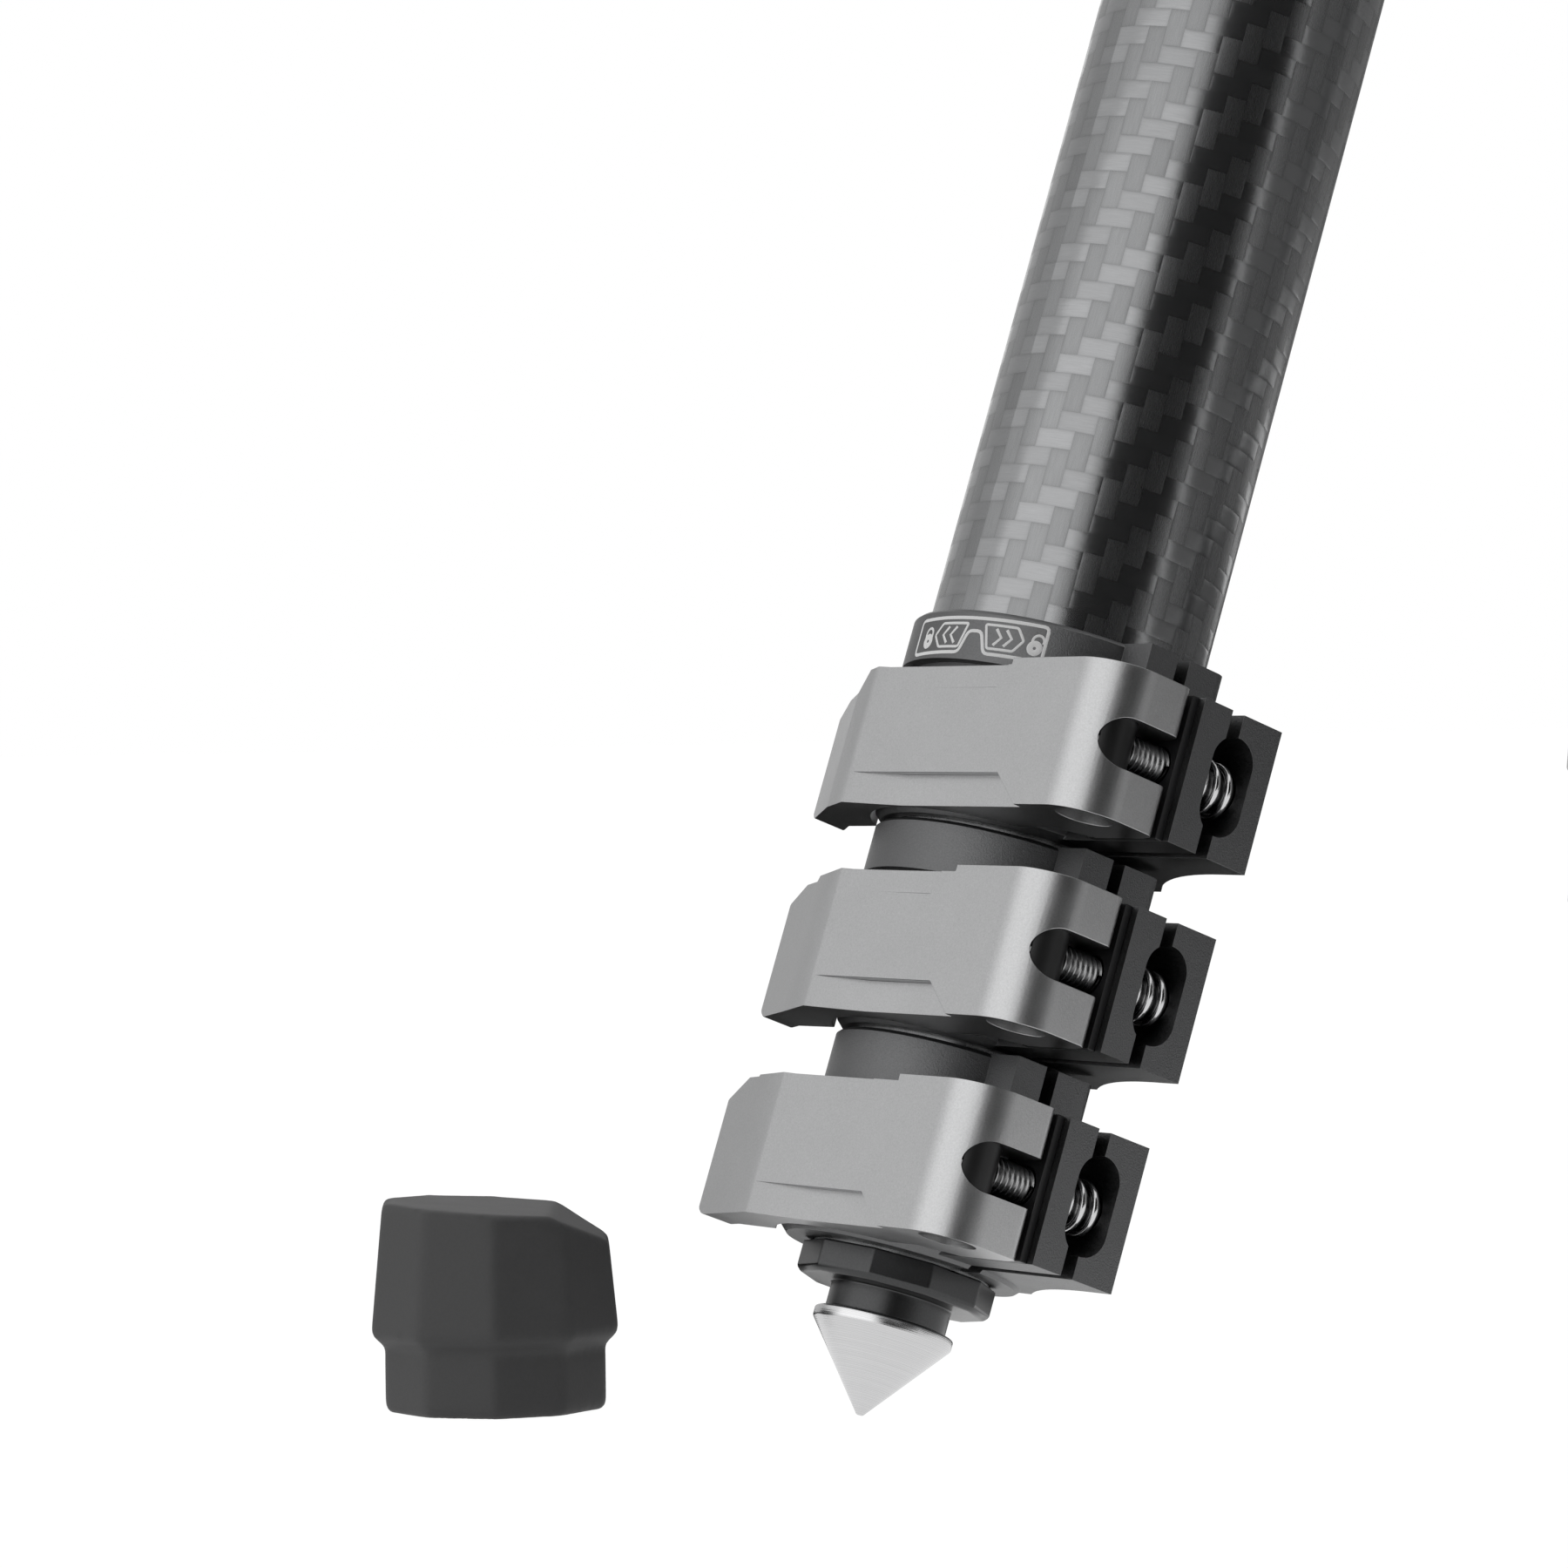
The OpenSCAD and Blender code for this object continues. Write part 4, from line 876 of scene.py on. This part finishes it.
class TRIPOD_OT_feet(bpy.types.Operator):
    """Rounds the rubber feet, the foot fittings and the spikes"""

    bl_idname = "tripod.feet"
    bl_label = "Feet"

    def execute(self, context):
        details = settings("tripod_details")
        rubber = soft_copy("leg_a_rubber_foot", 0.1 * MM, 1)
        modify(rubber, "REMESH", mode="VOXEL", voxel_size=details.rubber_edge / 4)
        modify(rubber, "SMOOTH", factor=0.5, iterations=12)
        smooth(rubber, 180)
        dress_legs(rubber, "rubber_foot", "rubber")
        fitting = soft_copy("leg_a_foot_fitting", details.metal_edge, 2)
        dress_legs(fitting, "foot_fitting", "black_smooth")
        spike = soft_copy("leg_a_spike", 0.12 * MM, 2)
        dress_legs(spike, "spike", "turned", per_leg=True)
        for leg in ("b", "c"):
            tube = copy_piece(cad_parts["leg_a_tube_4"], f"leg_{leg}_tube_4_piece", turn_to(leg))
            settle(tube, f"leg_{leg}_foot", f"carbon_{leg}_4", [f"leg_{leg}_foot_section"])
        return {"FINISHED"}


class TRIPOD_OT_leg_tops(bpy.types.Operator):
    """Rounds the castings and the stop latches at the tops of the legs"""

    bl_idname = "tripod.leg_tops"
    bl_label = "Leg tops"

    def execute(self, context):
        edge = settings("tripod_details").lever_edge
        dress_legs(soft_copy("leg_a_knuckle", edge, 3), "knuckle", "black")
        dress_legs(soft_copy("leg_a_stop_latch", 0.25 * MM, 2), "stop_latch", "silver")
        return {"FINISHED"}


class TRIPOD_OT_hub(bpy.types.Operator):
    """Rounds the hub with its hinge pins, the levelling ball with its cup washer, and the knob"""

    bl_idname = "tripod.hub"
    bl_label = "Hub and head"

    def execute(self, context):
        edge = settings("tripod_details").lever_edge
        for node, body, slot, key, width in (
                ("hub", "hub", "black_aluminium", "black", edge),
                ("hinge_pins", "hub", "steel", "steel", 0.25 * MM),
                ("levelling_ball", "levelling_ball", "black_aluminium", "black_smooth", 0.3 * MM),
                ("cup_washer", "levelling_ball", "silver_aluminium", "silver", 0.3 * MM),
                ("clamp_knob", "clamp_knob", "knob_plastic", "knob", 0.8 * MM)):
            piece = soft_copy(node, width, 3)
            piece.name = f"{node}_piece"
            settle(piece, body, key, [node])
        return {"FINISHED"}


class TRIPOD_OT_stage(bpy.types.Operator):
    """Makes the floor, the light and the camera"""

    bl_idname = "tripod.stage"
    bl_label = "Stage"

    def execute(self, context):
        values = settings("tripod_stage")
        self.make_camera(values)
        self.make_floor()
        self.make_world(values)
        self.make_lights(values)
        return {"FINISHED"}

    @staticmethod
    def make_camera(values):
        back, right, up = camera_axes(values)
        eye = SPIKE_TIP + back * values.distance
        eye -= right * (values.distance * TIP_RIGHT / PICTURE / values.focal)
        eye += up * (values.distance * TIP_BELOW / PICTURE / values.focal)
        bpy.ops.object.camera_add(location=eye)
        camera = bpy.context.object
        camera.name = "photo_camera"
        camera.matrix_world = Matrix.Translation(eye) @ Matrix((right, up, back)).transposed().to_4x4()
        camera.data.lens = camera.data.sensor_width * values.focal
        camera.data.clip_start, camera.data.clip_end = 0.01, 50
        camera.data.dof.use_dof = False
        bpy.context.scene.camera = camera

    @staticmethod
    def make_floor():
        deselect()
        bpy.ops.mesh.primitive_plane_add(size=14, location=(0, 0, FLOOR_Z))
        floor = bpy.context.object
        floor.name = "floor"
        paint = Paint("pale_floor")
        plain = paint.node("ShaderNodeBsdfDiffuse", None, {"Color": (0.8, 0.8, 0.8, 1)})
        factor = seen_as_white(paint) * 0.9
        floor.data.materials.append(paint.show(
            paint.node("ShaderNodeMixShader", None, [factor, plain, paint.glow(1.1)])))

    @staticmethod
    def make_world(values):
        paint = Paint("studio", bpy.data.worlds.new("studio"))
        strength = paint.mix(seen_as_white(paint), values.fill, 1.0)
        bpy.context.scene.world = paint.show(
            paint.node("ShaderNodeBackground", None, {"Color": (1, 1, 1, 1), "Strength": strength}))

    @staticmethod
    def make_card(name, strength, location, rotation, size=1.0):
        """An evenly lit plane that the camera doesn't see and that casts no shadow."""
        deselect()
        bpy.ops.mesh.primitive_plane_add(size=size, location=location, rotation=rotation)
        card = bpy.context.object
        card.name = name
        paint = Paint(name)
        card.data.materials.append(paint.show(paint.glow(strength)))
        card.visible_camera = card.visible_shadow = False
        return card

    def make_lights(self, values):
        """Area lamps, cards that the metal reflects, and darker patches of floor that only it reflects."""
        back, right, up = camera_axes(values)
        level = Vector((back.x, back.y, 0)).normalized()
        side = Vector((right.x, right.y, 0)).normalized()
        target = SPIKE_TIP + Vector((0, 0, 0.1))

        def facing(azimuth, distance, height):
            """A place round the clamps, measured from the camera to its right, and the turn to face them."""
            angle = math.radians(azimuth)
            place = target + (level * math.cos(angle) + side * math.sin(angle)) * distance
            place.z += height
            return place, (place - target).to_track_quat("Z", "Y").to_euler()

        for name, azimuth, distance, height, width, tall, power in (
                ("key_left", -50, 1.1, 0.35, 1.5, 1.1, values.key),
                ("rim_left", -118, 1.4, 0.5, 0.8, 1.2, values.key * 0.35),
                ("top", 10, 0.4, 1.5, 1.1, 1.1, values.key * 0.35)):
            place, turn = facing(azimuth, distance, height)
            deselect()
            bpy.ops.object.light_add(type="AREA", location=place, rotation=turn)
            lamp = bpy.context.object
            lamp.name = name
            lamp.data.shape = "RECTANGLE"
            lamp.data.size, lamp.data.size_y = width, tall
            lamp.data.energy = power
            lamp.visible_glossy = name == "key_left"

        card_distance, card_rise, card_height = 1.7, 0.2, 2.6
        for name, start, end, strength in (
                ("black_card", -4, 60, 0.012), ("strip_card", 61, 65, 0.9), ("grey_card_1", 66, 112, 0.2),
                ("grey_card_2", 112, 174, 0.24), ("left_card", 190, 240, 0.62)):
            place, turn = facing((start + end) / 2, card_distance, card_rise)
            card = self.make_card(name, strength, place, turn)
            width = 2 * card_distance * math.tan(math.radians(end - start) / 2)
            card.scale = (width, card_height, 1)

        for name, behind, aside, size, strength in (
                ("dark_flag", 0.29, 0, 0.5, 0.02), ("side_flag", 0.3, 0.85, 1.1, 0.14)):
            place = SPIKE_TIP - level * behind + side * aside
            place.z = FLOOR_Z + 0.3 * MM
            flag = self.make_card(name, strength, place, (0, 0, math.atan2(level.y, level.x)), size)
            flag.visible_diffuse = flag.visible_transmission = False


def camera_axes(values):
    """The camera's back, right and up directions."""
    azimuth, elevation, roll = values.azimuth, values.elevation, values.roll
    back = Vector((math.sin(azimuth) * math.cos(elevation), -math.cos(azimuth) * math.cos(elevation),
                   math.sin(elevation)))
    level = Vector((math.cos(azimuth), math.sin(azimuth), 0))
    rise = back.cross(level)
    right = level * math.cos(roll) + rise * math.sin(roll)
    return back, right, rise * math.cos(roll) - level * math.sin(roll)


def seen_as_white(paint):
    """1 for the rays that see the background: the camera's, and those off glossy and clear surfaces."""
    rays = [paint.node("ShaderNodeLightPath", output=name)
            for name in ("Is Camera Ray", "Is Glossy Ray", "Is Transmission Ray")]
    return (rays[0] + rays[1] + rays[2]).clamp()


class TRIPOD_PT_panel(bpy.types.Panel):
    """Lists the steps that dress the tripod."""

    bl_idname = "TRIPOD_PT_panel"
    bl_label = "Tripod"
    bl_space_type = "VIEW_3D"
    bl_region_type = "UI"
    bl_category = "Tripod"

    def draw(self, context):
        for operator in OPERATORS:
            self.layout.operator(operator.bl_idname)
        for name in GROUPS:
            box = self.layout.box()
            for value in GROUPS[name].__annotations__:
                box.prop(settings(name), value)


GROUPS = {"tripod_finishes": TripodFinishes, "tripod_details": TripodDetails, "tripod_stage": TripodStage}
OPERATORS = [
    TRIPOD_OT_paint_parts, TRIPOD_OT_clamps, TRIPOD_OT_levers, TRIPOD_OT_clamp_screws, TRIPOD_OT_print,
    TRIPOD_OT_feet, TRIPOD_OT_leg_tops, TRIPOD_OT_hub, TRIPOD_OT_stage]


def register():
    for made in [*GROUPS.values(), *OPERATORS, TRIPOD_PT_panel]:
        bpy.utils.register_class(made)
    for name, group in GROUPS.items():
        setattr(bpy.types.Scene, name, bpy.props.PointerProperty(type=group))


def unregister():
    for name in GROUPS:
        delattr(bpy.types.Scene, name)
    for made in reversed([*GROUPS.values(), *OPERATORS, TRIPOD_PT_panel]):
        bpy.utils.unregister_class(made)


def main():
    register()
    bpy.context.scene.view_settings.view_transform = "Standard"
    for operator in OPERATORS:
        family, name = operator.bl_idname.split(".")
        getattr(getattr(bpy.ops, family), name)()


if __name__ == "__main__":
    main()
